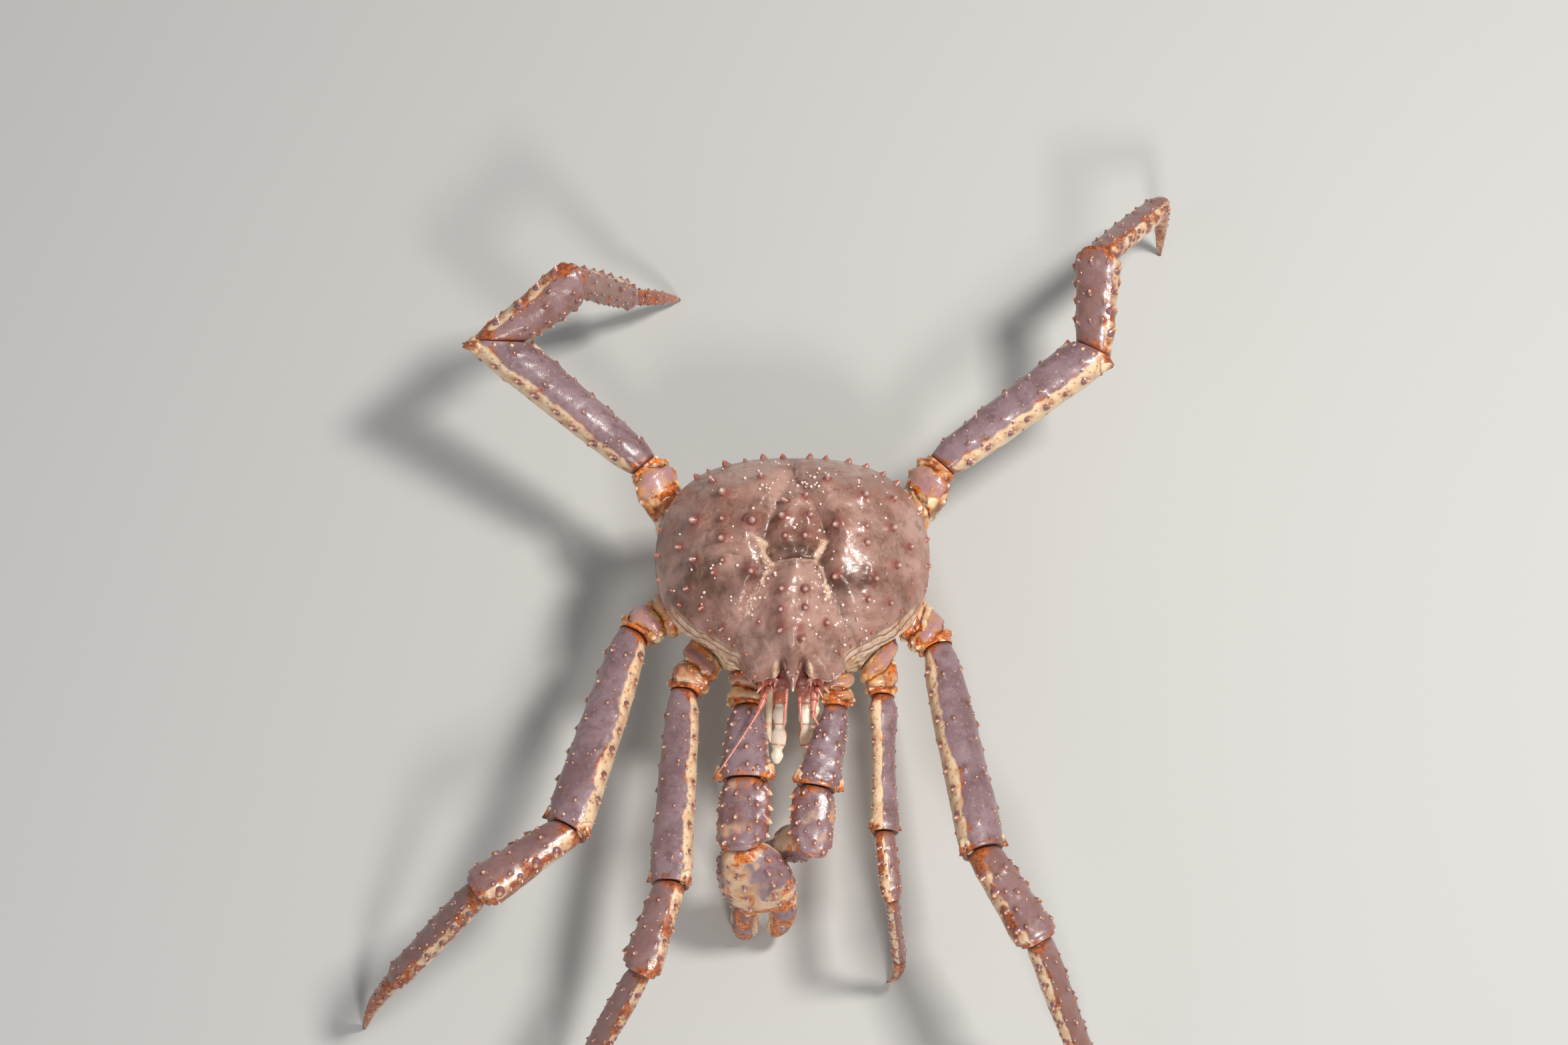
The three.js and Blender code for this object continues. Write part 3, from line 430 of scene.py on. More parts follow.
def rise(value, low, high):
    """0 below low, 1 above high, smooth between."""
    part = np.clip((value - low) / (high - low), 0, 1)
    return part * part * (3 - 2 * part)


def hill(distance, half):
    """1 at no distance, falling away smoothly to both sides."""
    return np.exp(-((distance / half) ** 2))


def stripe(value, start, end):
    """1 between two slopes, each given by where it begins and ends."""
    return rise(value, *start) * (1 - rise(value, *end))


def along(table, place, column):
    """Smooth values between the rows of a table, read at places given by its first column."""
    rows = np.array(table, float)
    keys, values = rows[:, 0], rows[:, column]
    slopes = np.zeros(len(keys))
    slopes[1:-1] = (values[2:] - values[:-2]) / (keys[2:] - keys[:-2])
    row = np.searchsorted(keys[1:-1], place, side="left")
    span = keys[row + 1] - keys[row]
    part = np.clip((place - keys[row]) / span, 0, 1)
    rest = 1 - part
    ends = values[row] * (1 + 2 * part) * rest**2 + values[row + 1] * (1 + 2 * rest) * part**2
    return ends + slopes[row] * span * part * rest**2 - slopes[row + 1] * span * rest * part**2


# Numbers that scatter a sine without a pattern
SCATTER = 43758.5453
SPREAD_STEP = 12.9898
LUMP_STEPS = (127.1, 311.7, 74.7)
LUMP_SEED_STEP = 7.31


def scattered(angle):
    """Repeatable value between -1 and 1 that shows no pattern."""
    value = np.sin(angle) * SCATTER
    return 2 * (value - np.floor(value)) - 1


def spread(seed):
    """The frame's own spread of its spines."""
    return scattered(seed * SPREAD_STEP)


def lumps(points, size, seed):
    """Smooth repeatable noise between -1 and 1, with lumps of that size."""
    cell = points / size + seed * LUMP_SEED_STEP
    corner = np.floor(cell)
    part = cell - corner
    part = part * part * (3 - 2 * part)
    total = np.zeros(points.shape[:-1])
    for step in np.ndindex(2, 2, 2):
        weight = np.prod(np.where(step, part, 1 - part), axis=-1)
        total += scattered((corner + step) @ LUMP_STEPS) * weight
    return total


def rough(points, octaves, seed=0):
    """Lumps of several sizes together: each row gives their size, their height and a seed."""
    return sum(height * lumps(points, size, seed + own) for size, height, own in octaves)


def spots(x, y, table):
    """Round patches together: each row gives the middle, half width, half length and height."""
    return sum(
        tall * hill(x - across, wide) * hill(y - down, long) for across, down, wide, long, tall in table
    )


def distance_to_line(x, y, line):
    """Distance in plan from a line through points."""
    nearest = np.full(x.shape, np.inf)
    for (ax, ay), (bx, by) in zip(line, line[1:]):
        run = (bx - ax) ** 2 + (by - ay) ** 2
        share = np.clip(((x - ax) * (bx - ax) + (y - ay) * (by - ay)) / run, 0, 1)
        nearest = np.minimum(nearest, np.hypot(x - ax - share * (bx - ax), y - ay - share * (by - ay)))
    return nearest


def srgb(code):
    """A colour written as rrggbb, in the renderer's linear values."""
    parts = np.array([int(code[place:place + 2], 16) for place in (0, 2, 4)]) / 255
    linear = np.where(parts < 0.04045, parts / 12.92, ((parts + 0.055) / 1.055) ** 2.4)
    return (*linear.tolist(), 1)


def masks(shape, **values):
    """Paint masks for points, each a number or an array that fits the shape."""
    rows = np.zeros((*shape, len(MASKS)))
    for name, value in values.items():
        rows[..., MASKS.index(name)] = value
    return rows


# Meshes
trunk_low, trunk_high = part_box("trunk")
ORIGIN = np.array([
    (trunk_low[0] + trunk_high[0]) / 2,
    (trunk_low[1] + trunk_high[1]) / 2 - TRUNK_MIDDLE_Y * MM,
    EDGE_LEVEL * MM,
])


def band_quads(rings):
    """Quads between rings of point numbers, all the way round."""
    beside = np.roll(rings, -1, axis=1)
    return np.stack([rings[:-1], beside[:-1], beside[1:], rings[1:]], axis=-1).reshape(-1, 4)


def closing_fan(ring, middle):
    """Triangles that close a ring of point numbers on one point."""
    tip = np.full(len(ring), middle)
    return np.stack([ring, np.roll(ring, -1), tip, tip], axis=-1)


class Shape:
    """Points, faces and paint masks of one piece, gathered body by body."""

    def __init__(self):
        self.points, self.paints, self.quads, self.count = [], [], [], 0

    def add(self, points, paints, quads):
        """A closed body, turned to face out. A triangle is a quad that repeats its last corner."""
        flat = points.reshape(-1, 3)
        corners = flat[quads.reshape(-1, quads.shape[-2], 4)[0] if quads.ndim == 3 else quads]
        middle = corners.mean(axis=(0, 1))
        one, two, three, four = (corners[:, side] - middle for side in range(4))
        volume = np.sum(one * np.cross(two, three)) + np.sum(one * np.cross(three, four))
        faces = quads.reshape(-1, 4)
        self.quads.append((faces if volume > 0 else faces[:, ::-1]) + self.count)
        self.points.append(flat)
        self.paints.append(paints.reshape(-1, len(MASKS)))
        self.count += len(flat)

    def tube(self, points, paints):
        """A skin over rings of points; the first and the last ring close on their middle."""
        rings, sides = points.shape[:2]
        grid = np.arange(rings * sides).reshape(rings, sides)
        start = closing_fan(grid[0], rings * sides)[:, [1, 0, 2, 3]]
        end = closing_fan(grid[-1], rings * sides + 1)
        ends = np.stack([points[0].mean(axis=0), points[-1].mean(axis=0)])
        end_paints = np.stack([paints[0].mean(axis=0), paints[-1].mean(axis=0)])
        self.add(
            np.concatenate([points.reshape(-1, 3), ends]),
            np.concatenate([paints.reshape(-1, len(MASKS)), end_paints]),
            np.concatenate([band_quads(grid), start, end]),
        )

    def cones(self, roots, directions, heights, radii, profile, sides, stretch=1, lengthwise=None, **paint):
        """Many round bodies on their roots, stretched lengthwise if asked. The profile gives height and
        radius shares, and each mask has a value for each of its rows, or such values for each body."""
        rows = np.array(profile, float)
        count, rings = len(roots), len(rows)
        if lengthwise is None:
            lengthwise = np.where(np.abs(directions[:, 2:]) < 0.9, (0.0, 0.0, 1.0), (1.0, 0.0, 0.0))
        second = unit(np.cross(directions, lengthwise))
        first = np.cross(second, directions) * stretch
        turns = np.linspace(0, 2 * np.pi, sides, endpoint=False)
        circle = np.cos(turns)[:, None] * first[:, None] + np.sin(turns)[:, None] * second[:, None]
        rises = heights[:, None] * rows[:, 0]
        spans = radii[:, None] * rows[:, 1]
        points = (roots[:, None, None] + rises[..., None, None] * directions[:, None, None]
                  + spans[..., None, None] * circle[:, None])
        looks = masks((count, rings, sides), **{
            name: np.array(value).reshape(-1, rings, 1) for name, value in paint.items()
        })
        grid = np.arange(rings * sides).reshape(rings, sides)
        caps = []
        for row, flip in ((grid[0], 1), (grid[-1], -1)):
            fan = np.stack([np.full(sides - 2, row[0]), row[1:-1], row[2:], row[2:]], axis=-1)
            caps.append(fan[:, [0, 2, 1, 1]] if flip > 0 else fan)
        body = np.concatenate([band_quads(grid), *caps])
        for number in range(count):
            self.add(points[number], looks[number], body)


def make_mesh(name, shape):
    """A smooth mesh of a shape, with a layer of values for each paint mask."""
    mesh = bpy.data.meshes.new(name)
    points = np.concatenate(shape.points) * MM + ORIGIN
    quads = np.concatenate(shape.quads)
    whole = quads[:, 2] != quads[:, 3]
    corners = np.concatenate([quads[whole].ravel(), quads[~whole][:, :3].ravel()])
    sizes = np.concatenate([np.full(whole.sum(), 4), np.full((~whole).sum(), 3)])
    starts = np.concatenate([[0], np.cumsum(sizes)[:-1]])
    mesh.vertices.add(len(points))
    mesh.vertices.foreach_set("co", points.ravel())
    mesh.loops.add(len(corners))
    mesh.loops.foreach_set("vertex_index", corners.astype(np.int32))
    mesh.polygons.add(len(sizes))
    mesh.polygons.foreach_set("loop_start", starts.astype(np.int32))
    mesh.update(calc_edges=True)
    paints = np.clip(np.concatenate(shape.paints), 0, 1)
    for column, mask in enumerate(MASKS):
        layer = mesh.attributes.new(mask, "FLOAT", "POINT")
        layer.data.foreach_set("value", paints[:, column].astype(np.float32))
    mesh.polygons.foreach_set("use_smooth", np.ones(len(sizes), bool))
    return mesh


def make_piece(name, shape, material, node):
    """A mesh on the root body that stands for its node of the frame."""
    piece = bpy.data.objects.new(name, make_mesh(name, shape))
    piece.data.materials.append(material)
    bpy.context.scene.collection.objects.link(piece)
    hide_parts(node)
    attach(piece, "root")


# Profiles of spines and beads: height and radius shares, from the sunk root to the tip
SPINE_PROFILE = [
    (-0.4, 1.5), (-0.1, 1.3), (0.05, 1.1), (0.18, 0.9), (0.32, 0.74), (0.48, 0.58), (0.64, 0.42),
    (0.78, 0.28), (0.9, 0.16), (0.97, 0.08), (1, 0.01),
]
BLUNT_PROFILE = [
    (-0.4, 1.5), (-0.1, 1.25), (0.06, 1.06), (0.22, 0.9), (0.4, 0.77), (0.56, 0.64), (0.7, 0.51),
    (0.82, 0.38), (0.92, 0.24), (0.98, 0.12), (1, 0.02),
]
BEAD_PROFILE = [(-0.8, 1.1), (0, 1), (0.42, 0.9), (0.72, 0.68), (0.92, 0.36), (1, 0.05)]

# Their paint, row by row of the profile
SPINE_CORE = np.array([0.3, 0.4, 0.6, 0.8, 0.95, 1, 0.8, 0.5, 0.25, 0.1, 0.1])
SPINE_TIP = np.array([0, 0, 0, 0, 0.1, 0.3, 0.55, 0.8, 0.95, 1, 1])
EDGE_STAIN = [0, 0, 0, 0.1, 0.3, 0.6, 0.9, 1, 1, 1, 1]
LOBE_CORE = [0, 0, 0, 0, 0, 0.1, 0.3, 0.55, 0.6, 0.5, 0.3]
SCALE_CORE = [1] * 8 + [0.7, 0.5, 0.5]
BEAD_TIP = [0.1, 0.4, 0.8, 1, 1, 1]

# Sides round them, and how the beads of the limbs are strewn
SPINE_SIDES = 14
BEAD_SIDES = 8
BEAD_SPACING = 150          # square millimetres of a limb's outline for each bead
LIMB_BEAD_PLACES = (0.08, 0.92)
LIMB_BEAD_TURNS = (0.1, np.pi * 1.05)
LIMB_BEAD_SIZES = (0.35, 0.8)


# Materials
PATTERN = dict(broad=34, middle=9, small=2.6, fine=0.7, specks=4.5, pores=1.7)  # sizes, millimetres
BUMP_HEIGHT = 0.22
WET_COAT, DAMP_COAT, EYE_COAT = 0.5, 0.25, 1
COAT_ROUGHNESS = 0.12
ROUGHNESS_RANGE = (0.28, 0.5)
SHELL_IOR = 1.5


class Paint:
    """A material's nodes, made by short calls. Sizes are in millimetres."""

    def __init__(self, name):
        self.material = bpy.data.materials.new(name)
        self.material.use_nodes = True
        self.tree = self.material.node_tree
        self.shader = self.tree.nodes["Principled BSDF"]
        self.place = self.tree.nodes.new("ShaderNodeTexCoord").outputs["Object"]

    def node(self, kind, **settings):
        made = self.tree.nodes.new(kind)
        for name, value in settings.items():
            setattr(made, name, value)
        return made

    def feed(self, socket, value):
        if isinstance(value, bpy.types.NodeSocket):
            self.tree.links.new(value, socket)
        else:
            socket.default_value = value

    def noise(self, size, detail=3, roughness=0.55, distortion=0):
        made = self.node("ShaderNodeTexNoise")
        self.feed(made.inputs["Vector"], self.place)
        self.feed(made.inputs["Scale"], 1 / (size * MM))
        self.feed(made.inputs["Detail"], detail)
        self.feed(made.inputs["Roughness"], roughness)
        self.feed(made.inputs["Distortion"], distortion)
        return made.outputs["Fac"]

    def cells(self, size):
        made = self.node("ShaderNodeTexVoronoi")
        self.feed(made.inputs["Vector"], self.place)
        self.feed(made.inputs["Scale"], 1 / (size * MM))
        return made.outputs["Distance"]

    def mask(self, name):
        return self.node("ShaderNodeAttribute", attribute_name=name).outputs["Fac"]

    def band(self, value, low, high, to_low=0.0, to_high=1.0):
        made = self.node("ShaderNodeMapRange", interpolation_type="SMOOTHSTEP")
        for socket, number in zip(made.inputs, (value, low, high, to_low, to_high)):
            self.feed(socket, number)
        return made.outputs["Result"]

    def maths(self, operation, one, two):
        made = self.node("ShaderNodeMath", operation=operation, use_clamp=True)
        self.feed(made.inputs[0], one)
        self.feed(made.inputs[1], two)
        return made.outputs["Value"]

    def mix(self, share, one, two):
        """One colour turning into another as the share goes from 0 to 1."""
        made = self.node("ShaderNodeMix", data_type="RGBA")
        share_in, one_in, two_in = (made.inputs[number] for number in (0, 6, 7))
        self.feed(share_in, share)
        self.feed(one_in, one)
        self.feed(two_in, two)
        return made.outputs[2]

    def finish(self, colour, roughness, bump, coat):
        """Feed the shader, with a coat of wet gloss over the bumps."""
        made = self.node("ShaderNodeBump")
        self.feed(made.inputs["Strength"], 1)
        self.feed(made.inputs["Distance"], BUMP_HEIGHT * MM)
        self.feed(made.inputs["Height"], bump)
        normal = made.outputs["Normal"]
        settings = {
            "Base Color": colour, "Roughness": roughness, "Normal": normal, "Coat Normal": normal,
            "Coat Weight": coat, "Coat Roughness": COAT_ROUGHNESS, "IOR": SHELL_IOR,
        }
        for name, value in settings.items():
            self.feed(self.shader.inputs[name], value)
        return self.material


def carapace(name, tones, coat=WET_COAT):
    """Wet crab shell: mottled ground, with cream, stains, painted shade in grooves and creases together with
    real dark freckles, and spine colours laid over by mask.
    """
    paint = Paint(name)
    tone = {use: srgb(code) for use, code in tones.items()}
    broad = paint.noise(PATTERN["broad"], 3, 0.6, 0.4)
    middle = paint.noise(PATTERN["middle"], 4, 0.65, 0.3)
    small = paint.noise(PATTERN["small"], 4, 0.7)
    fine = paint.noise(PATTERN["fine"], 2)
    colour = paint.mix(paint.band(broad, 0.38, 0.64), tone["ground"], tone["second"])
    colour = paint.mix(paint.band(middle, 0.5, 0.72, 0, 0.7), colour, tone["dark"])
    colour = paint.mix(paint.band(small, 0.52, 0.75, 0, 0.4), colour, tone["pale"])
    specks = paint.band(paint.cells(PATTERN["specks"]), 0.1, 0.17, 0.75, 0)
    specks = paint.maths("MULTIPLY", specks, paint.band(middle, 0.42, 0.6))
    colour = paint.mix(specks, colour, tone["brown"])
    brown = paint.maths("MULTIPLY", paint.mask("brown"), paint.band(middle, 0.3, 0.6, 0.4, 1))
    colour = paint.mix(brown, colour, tone["brown"])
    cream = paint.mix(paint.band(middle, 0.42, 0.68), tone["cream"], tone["cream_dark"])
    cream = paint.mix(paint.band(small, 0.6, 0.72, 0, 0.75), cream, tone["freckle"])
    edge = paint.maths("ADD", paint.mask("cream"), paint.band(middle, 0.3, 0.7, -0.2, 0.2))
    colour = paint.mix(paint.band(edge, 0.2, 0.78), colour, cream)
    stain = paint.maths("ADD", paint.mask("stain"), paint.band(middle, 0.3, 0.7, -0.35, 0.15))
    stain = paint.band(stain, 0.1, 0.6, 0, 0.95)
    orange = paint.mix(paint.band(small, 0.4, 0.62), tone["stain"], tone["stain_dark"])
    colour = paint.mix(stain, colour, orange)
    # The second of these paints shade into grooves, wrinkles and hollows, besides real dark freckles and
    # veins.
    for use in ("joint", "pit", "core", "tip"):
        colour = paint.mix(paint.mask(use), colour, tone[use])
    roughness = paint.band(small, 0.35, 0.7, *ROUGHNESS_RANGE)
    bump = paint.maths("ADD", paint.maths("MULTIPLY", small, 0.5), paint.maths("MULTIPLY", fine, 0.35))
    pores = paint.band(paint.cells(PATTERN["pores"]), 0, 0.22)
    bump = paint.maths("ADD", bump, paint.maths("MULTIPLY", pores, 0.15))
    return paint.finish(colour, roughness, bump, coat)


# In each set, the tone after the joint's is for painted shade in grooves, wrinkles and hollows and for real
# dark freckles.
SHELL_TONES = dict(
    ground="b58e80", second="976b5c", dark="6e4a3a", pale="d0aca2", brown="573624", cream="e6c6ae",
    cream_dark="b88660", freckle="8a5a3e", stain="d0562a", stain_dark="a04422", joint="7c4434",
    pit="4e2c20", core="82362a", tip="f0d4c8",
)
LEG_TONES = dict(
    ground="90757a", second="7a5c5e", dark="5f4440", pale="b39ca4", brown="8c6050", cream="eacba6",
    cream_dark="d4a67c", freckle="8a5836", stain="c06222", stain_dark="6e2c12", joint="6e3218",
    pit="3c1810", core="7e3422", tip="e6b08a",
)
CLAW_TONES = dict(
    ground="937b81", second="7d6368", dark="6a4a46", pale="b09ca4", brown="66321f", cream="efcaa4",
    cream_dark="d8a074", freckle="9a5632", stain="e8821e", stain_dark="9a4012", joint="6e3218",
    pit="40140c", core="8a3a22", tip="f2c29a",
)
BASE_TONES = dict(
    ground="d9a05c", second="c27632", dark="7e3e1a", pale="f4dfba", brown="b08284", cream="f6e4c4",
    cream_dark="f0b050", freckle="a65a22", stain="e8761a", stain_dark="8c3610", joint="6e3218",
    pit="4a1a0c", core="8a361c", tip="f6cca4",
)
UNDER_TONES = dict(
    ground="dcc39c", second="cfae86", dark="b98a64", pale="ecdcc0", brown="9c6a44", cream="ead4b0",
    cream_dark="d4b088", freckle="a87850", stain="cf8a44", stain_dark="9a5c30", joint="b06a50",
    pit="7a4c38", core="b06a50", tip="efc8a4",
)
EYE_TONES = dict(
    ground="cf9084", second="b87468", dark="96564e", pale="e6b4a6", brown="8a4e48", cream="e4b0a0",
    cream_dark="cc8c7e", freckle="a0645a", stain="c06c58", stain_dark="94544a", joint="a0584c",
    pit="5c3230", core="9a5e56", tip="f0c8b8",
)
FEELER_TONES = dict(
    ground="cf8670", second="c26c58", dark="a8523f", pale="deae9e", brown="96443c", cream="e8c0aa",
    cream_dark="d89c88", freckle="b06454", stain="d46e3c", stain_dark="ac4a30", joint="a63c34",
    pit="7a2e2a", core="b03228", tip="ecb6a2",
)
MOUTH_TONES = dict(
    ground="fff3e0", second="fae8cf", dark="f0ceb4", pale="fffaf0", brown="c47a64", cream="eee0c4",
    cream_dark="d8c49c", freckle="d8b898", stain="e07a52", stain_dark="cc5a38", joint="b0543a",
    pit="8a4a3c", core="b84e34", tip="f0b8a0",
)


def edge_reach(angle, share=1):
    """Distance of the shell's edge from its middle. Inside it the edge's lobes and notches fade out."""
    inner = along(INNER_EDGE, np.abs(angle), 1)
    reach = along(SHELL_EDGE, np.abs(angle), 1)
    for middle, half, step in ORBITS:
        reach = reach + step * hill(np.abs(angle) - middle, half)
    return inner + (reach - inner) * rise(share, LOBES_FROM, 1)


def shell_heights(x, y):
    """Relief of the shell, with its cream mask and the painted shade of its grooves and furrows."""
    aside = np.abs(x - REGION_MIDDLE)
    stomach, heart, gill = (along(table, y, 1) for table in (STOMACH_REACH, HEART_REACH, GILL_START))
    height = STOMACH_RISE * rise(stomach - aside, *STOMACH_SLOPE) * (1 - rise(y, *STOMACH_END))
    ramp = np.clip((y - HEART_START[0]) / (HEART_START[1] - HEART_START[0]), 0, 1)
    height += HEART_RISE * rise(heart - aside, *HEART_SLOPE) * ramp * (1 - rise(y, *HEART_END))
    flank = rise(aside - gill, *GILL_SLOPE) * (1 - 0.85 * rise(aside, *GILL_OUTER)) * rise(y, *GILL_FRONT)
    height += GILL_RISE * flank * (1 - 0.8 * rise(y, *GILL_REAR)) + spots(x, y, FINE_RELIEF)
    cream = np.zeros(x.shape)
    # Painted shade along the floors of the grooves beside the gill regions
    pit = 0.75 * hill(aside - gill, 3.2) * stripe(y, GROOVE_FRONT, GROOVE_REAR)
    pit = np.maximum(pit, 0.35 * hill(aside - gill, 2))
    flat = np.stack([x, y, np.zeros(x.shape)], axis=-1)
    ragged = 1 + rough(flat, RAGGED_LUMPS)
    strayed = x + 1.6 * lumps(flat, 6, 42)
    # The fifth column of a ridge or furrow paints shade into the furrow
    for line, wide, tall, pale, dark in CREASES:
        nearness = hill(distance_to_line(strayed, y, line), wide * ragged)
        height += tall * nearness * ragged
        cream = np.maximum(cream, pale * nearness)
        pit = np.maximum(pit, dark * nearness)
    return height, cream, pit * (1 - cream)


NEARBY_ANGLE = 2            # degrees
NEARBY_SHARE = 0.02


def shell_point(angle, share):
    """A point of the shell's top, angles in degrees from the tail."""
    reach = edge_reach(angle, share)
    x = reach * share * np.sin(np.radians(angle))
    y = reach * share * np.cos(np.radians(angle))
    dome = DOME_RISE * (1 - share**DOME_FULLNESS) ** DOME_SHOULDER
    relief = shell_heights(x, y)[0] * (1 - share**EDGE_FADE)
    return np.stack([x, y, along(SHELL_EDGE, np.abs(angle), 2) * share**2 + dome + relief], axis=-1)


def shell_outward(angle, share):
    """The direction out of the shell's top, from two points close by."""
    here = shell_point(angle, share)
    beside = shell_point(angle + NEARBY_ANGLE, share) - here
    inside = shell_point(angle, np.abs(share - NEARBY_SHARE)) - here
    outward = unit(np.cross(beside, inside))
    return np.where(outward[..., 2:] < 0, -outward, outward)


def on_shell(x, y):
    """Angle and share of the spot of the shell over a place in plan."""
    angle = np.degrees(np.arctan2(x, y))
    return angle, np.hypot(x, y) / edge_reach(angle)


# Cells across the sheet of the shell's top, and rows of its wall
SHELL_CELLS = 236
WALL_STEPS = 22


def shell_shape():
    """The shell's top as a round sheet of quads, its wall below the rim, and its under face."""
    shape = Shape()
    side = np.linspace(-1, 1, SHELL_CELLS + 1)
    across, lengthwise = np.meshgrid(side, side, indexing="ij")
    u = across * np.sqrt(1 - lengthwise**2 / 2)
    v = lengthwise * np.sqrt(1 - across**2 / 2)
    share = np.clip(np.hypot(u, v), 0, 1)
    angle = np.degrees(np.arctan2(u, v))
    top = shell_point(angle, share)
    looks = dress_top(top, angle, share)
    grid = np.arange((SHELL_CELLS + 1) ** 2).reshape(SHELL_CELLS + 1, -1)
    sheet = np.stack([grid[:-1, :-1], grid[1:, :-1], grid[1:, 1:], grid[:-1, 1:]], axis=-1)
    border = np.concatenate([grid[:-1, 0], grid[-1, :-1], grid[:0:-1, -1], grid[0, :0:-1]])
    wall, wall_looks = shell_wall(angle.ravel()[border], top.reshape(-1, 3)[border])
    below = grid.size + np.arange(WALL_STEPS * len(border)).reshape(WALL_STEPS, -1)
    rows = np.concatenate([border[None], below])
    cap = closing_fan(rows[-1], grid.size + below.size)
    shape.add(
        np.concatenate([top.reshape(-1, 3), wall.reshape(-1, 3), wall[-1].mean(axis=0)[None]]),
        np.concatenate([
            looks.reshape(-1, len(MASKS)), wall_looks.reshape(-1, len(MASKS)), masks((1,), cream=1),
        ]),
        np.concatenate([sheet.reshape(-1, 4), band_quads(rows), cap]),
    )
    return shape


def spine_mounds(x, y):
    """Mounds that carry the shell's spines, and their dark cores."""
    mound, core = np.zeros(x.shape), np.zeros(x.shape)
    for spot_x, spot_y, tall in SHELL_SPINES:
        reach = np.hypot(x - spot_x, y - spot_y)
        mound += 0.5 * tall * hill(reach, 1.05 * tall)
        core = np.maximum(core, 0.7 * hill(reach, 0.8 * tall))
    return mound, core


def skirt_form(flat, angle, share):
    """Height of the pale, wrinkled skirt beside the head, with its mask and the painted shade in its
    wrinkles' troughs.
    """
    far = np.abs(angle)
    edge_distance = (1 - share) * edge_reach(angle)
    width = SKIRT_WIDTH + 1.6 * lumps(flat, 9, 5)
    skirt = stripe(far, (SKIRT_FROM, SKIRT_FROM + 14), (SKIRT_TO - 6, SKIRT_TO))
    mask = skirt * (1 - rise(edge_distance, width - 1.2, width + 0.6))
    wrinkle = np.sin(edge_distance * 2.6 + 3 * lumps(flat, 10, 6) + 1.5 * lumps(flat, 3, 5))
    ridge = skirt * hill(edge_distance - width, 1.6)
    drop = SKIRT_SLOPE * skirt * np.clip(width - edge_distance, 0, None)
    return 0.7 * ridge + 0.6 * mask * wrinkle - drop, mask, mask * rise(-wrinkle, 0.45, 0.95)


def dress_top(top, angle, share):
    """Raise the shell's top by its fine forms, in place, and paint it."""
    x, y = top[..., 0].copy(), top[..., 1].copy()
    cream, pit = shell_heights(x, y)[1:]
    mound, core = spine_mounds(x, y)
    texture = rough(top, SHELL_LUMPS) + 0.35 * rise(y, 40, 62) * lumps(top * (0.25, 1, 1), 1.7, 4)
    texture -= 0.7 * rise(lumps(top, 6, 9), 0.35, 0.8)
    top[..., 2] += (mound + texture) * (1 - share**14)
    lift, skirt, wrinkle_shade = skirt_form(top * (1, 1, 0), angle, share)
    brow, orbit = (spots(np.abs(x), y, [row]) for row in (BROW_LOBE, ORBIT_PIT))
    top[..., 2] += lift + 1.6 * brow - 1.4 * orbit
    cream = np.maximum.reduce([cream, 0.8 * skirt, 1.3 * brow])
    # Painted shade in the grooves, in the hollow in front of the heart region, in the notches over the eyes
    # and in the skirt's wrinkles
    pit = np.maximum.reduce([pit, 0.8 * spots(x, y, [HEART_HOLLOW_SHADE]), 0.7 * orbit, 0.75 * wrinkle_shade])
    brown = np.clip(spots(x, y, BROWN_AND_SHADE_PATCHES), 0, 1)
    return masks(x.shape, cream=cream, pit=pit, core=core, brown=brown)


def shell_wall(angle, rim):
    """Rounded edge and side wall of the shell, row by row down from its rim."""
    drop = np.linspace(0, 1, WALL_STEPS + 1)[1:, None]
    reach = edge_reach(angle)
    front = rise(np.abs(angle), 152, 158)
    inset = 0.3 + 7.5 * drop**1.3 + 2 * np.sin(np.pi * drop) * (1 - front)
    level = rim[:, 2] - 0.8 + (0.8 - WALL_DROP - rim[:, 2]) * drop
    flat = np.stack(np.broadcast_arrays(rim[:, 0], rim[:, 1], level * 2), axis=-1)
    wrinkle = np.sin(drop * 34 + 4 * lumps(rim * (1, 1, 0), 16, 6) + 1.5 * lumps(flat, 6, 8))
    folds = 0.8 * wrinkle * np.sin(np.pi * drop) + 0.4 * lumps(flat, 3, 7)
    spread_out = reach - inset + folds * np.minimum(drop * 4, 1)
    x = spread_out * np.sin(np.radians(angle))
    y = spread_out * np.cos(np.radians(angle))
    tucked = front * rise(drop, 0.06, 0.3) * (np.abs(x) < FACE_HALF_WIDTH)
    y = np.where(tucked > 0, np.maximum(y, FACE_FRONT - 8 * (1 - tucked)), y)
    points = np.stack(np.broadcast_arrays(x, y, level), axis=-1)
    # Painted shade in the notch over the eye, where the cream gives way, and in the troughs of the wall's
    # wrinkles
    orbit = hill(np.abs(angle) - ORBITS[0][0], ORBIT_SHADE_HALF)
    cream = 0.35 + 0.5 * rise(drop, 0, 0.2) - orbit
    pit = np.maximum(0.8 * orbit, 0.7 * rise(-wrinkle, 0.5, 0.95))
    return points, masks(x.shape, cream=cream, stain=0.3 * rise(drop, 0.6, 1), pit=pit)


# Spines and beads of the shell, as shares of a spine's height in its table
TOP_SPINE = dict(height=0.88, girth=0.57, lift=0.2, forward=0.15)
EDGE_SPINE = dict(height=0.8, girth=0.42, stretch=1.6, inset=2, upward=0.3, sunk=0.4)
SKIRT_SPINE = dict(height=0.75, inset=SKIRT_WIDTH + 2.5, upward=1.2)
HEAD_SPINE_GIRTH, ANTENNA_SPINE_GIRTH, ANTENNA_SCALE_GIRTH = 0.42, 0.24, 0.4
SHELL_BEAD_SEED = 5
SHELL_BEAD_SIZES = (0.5, 1.35)
SHELL_BEADS_WITHIN = 0.94   # share of the way out to the edge


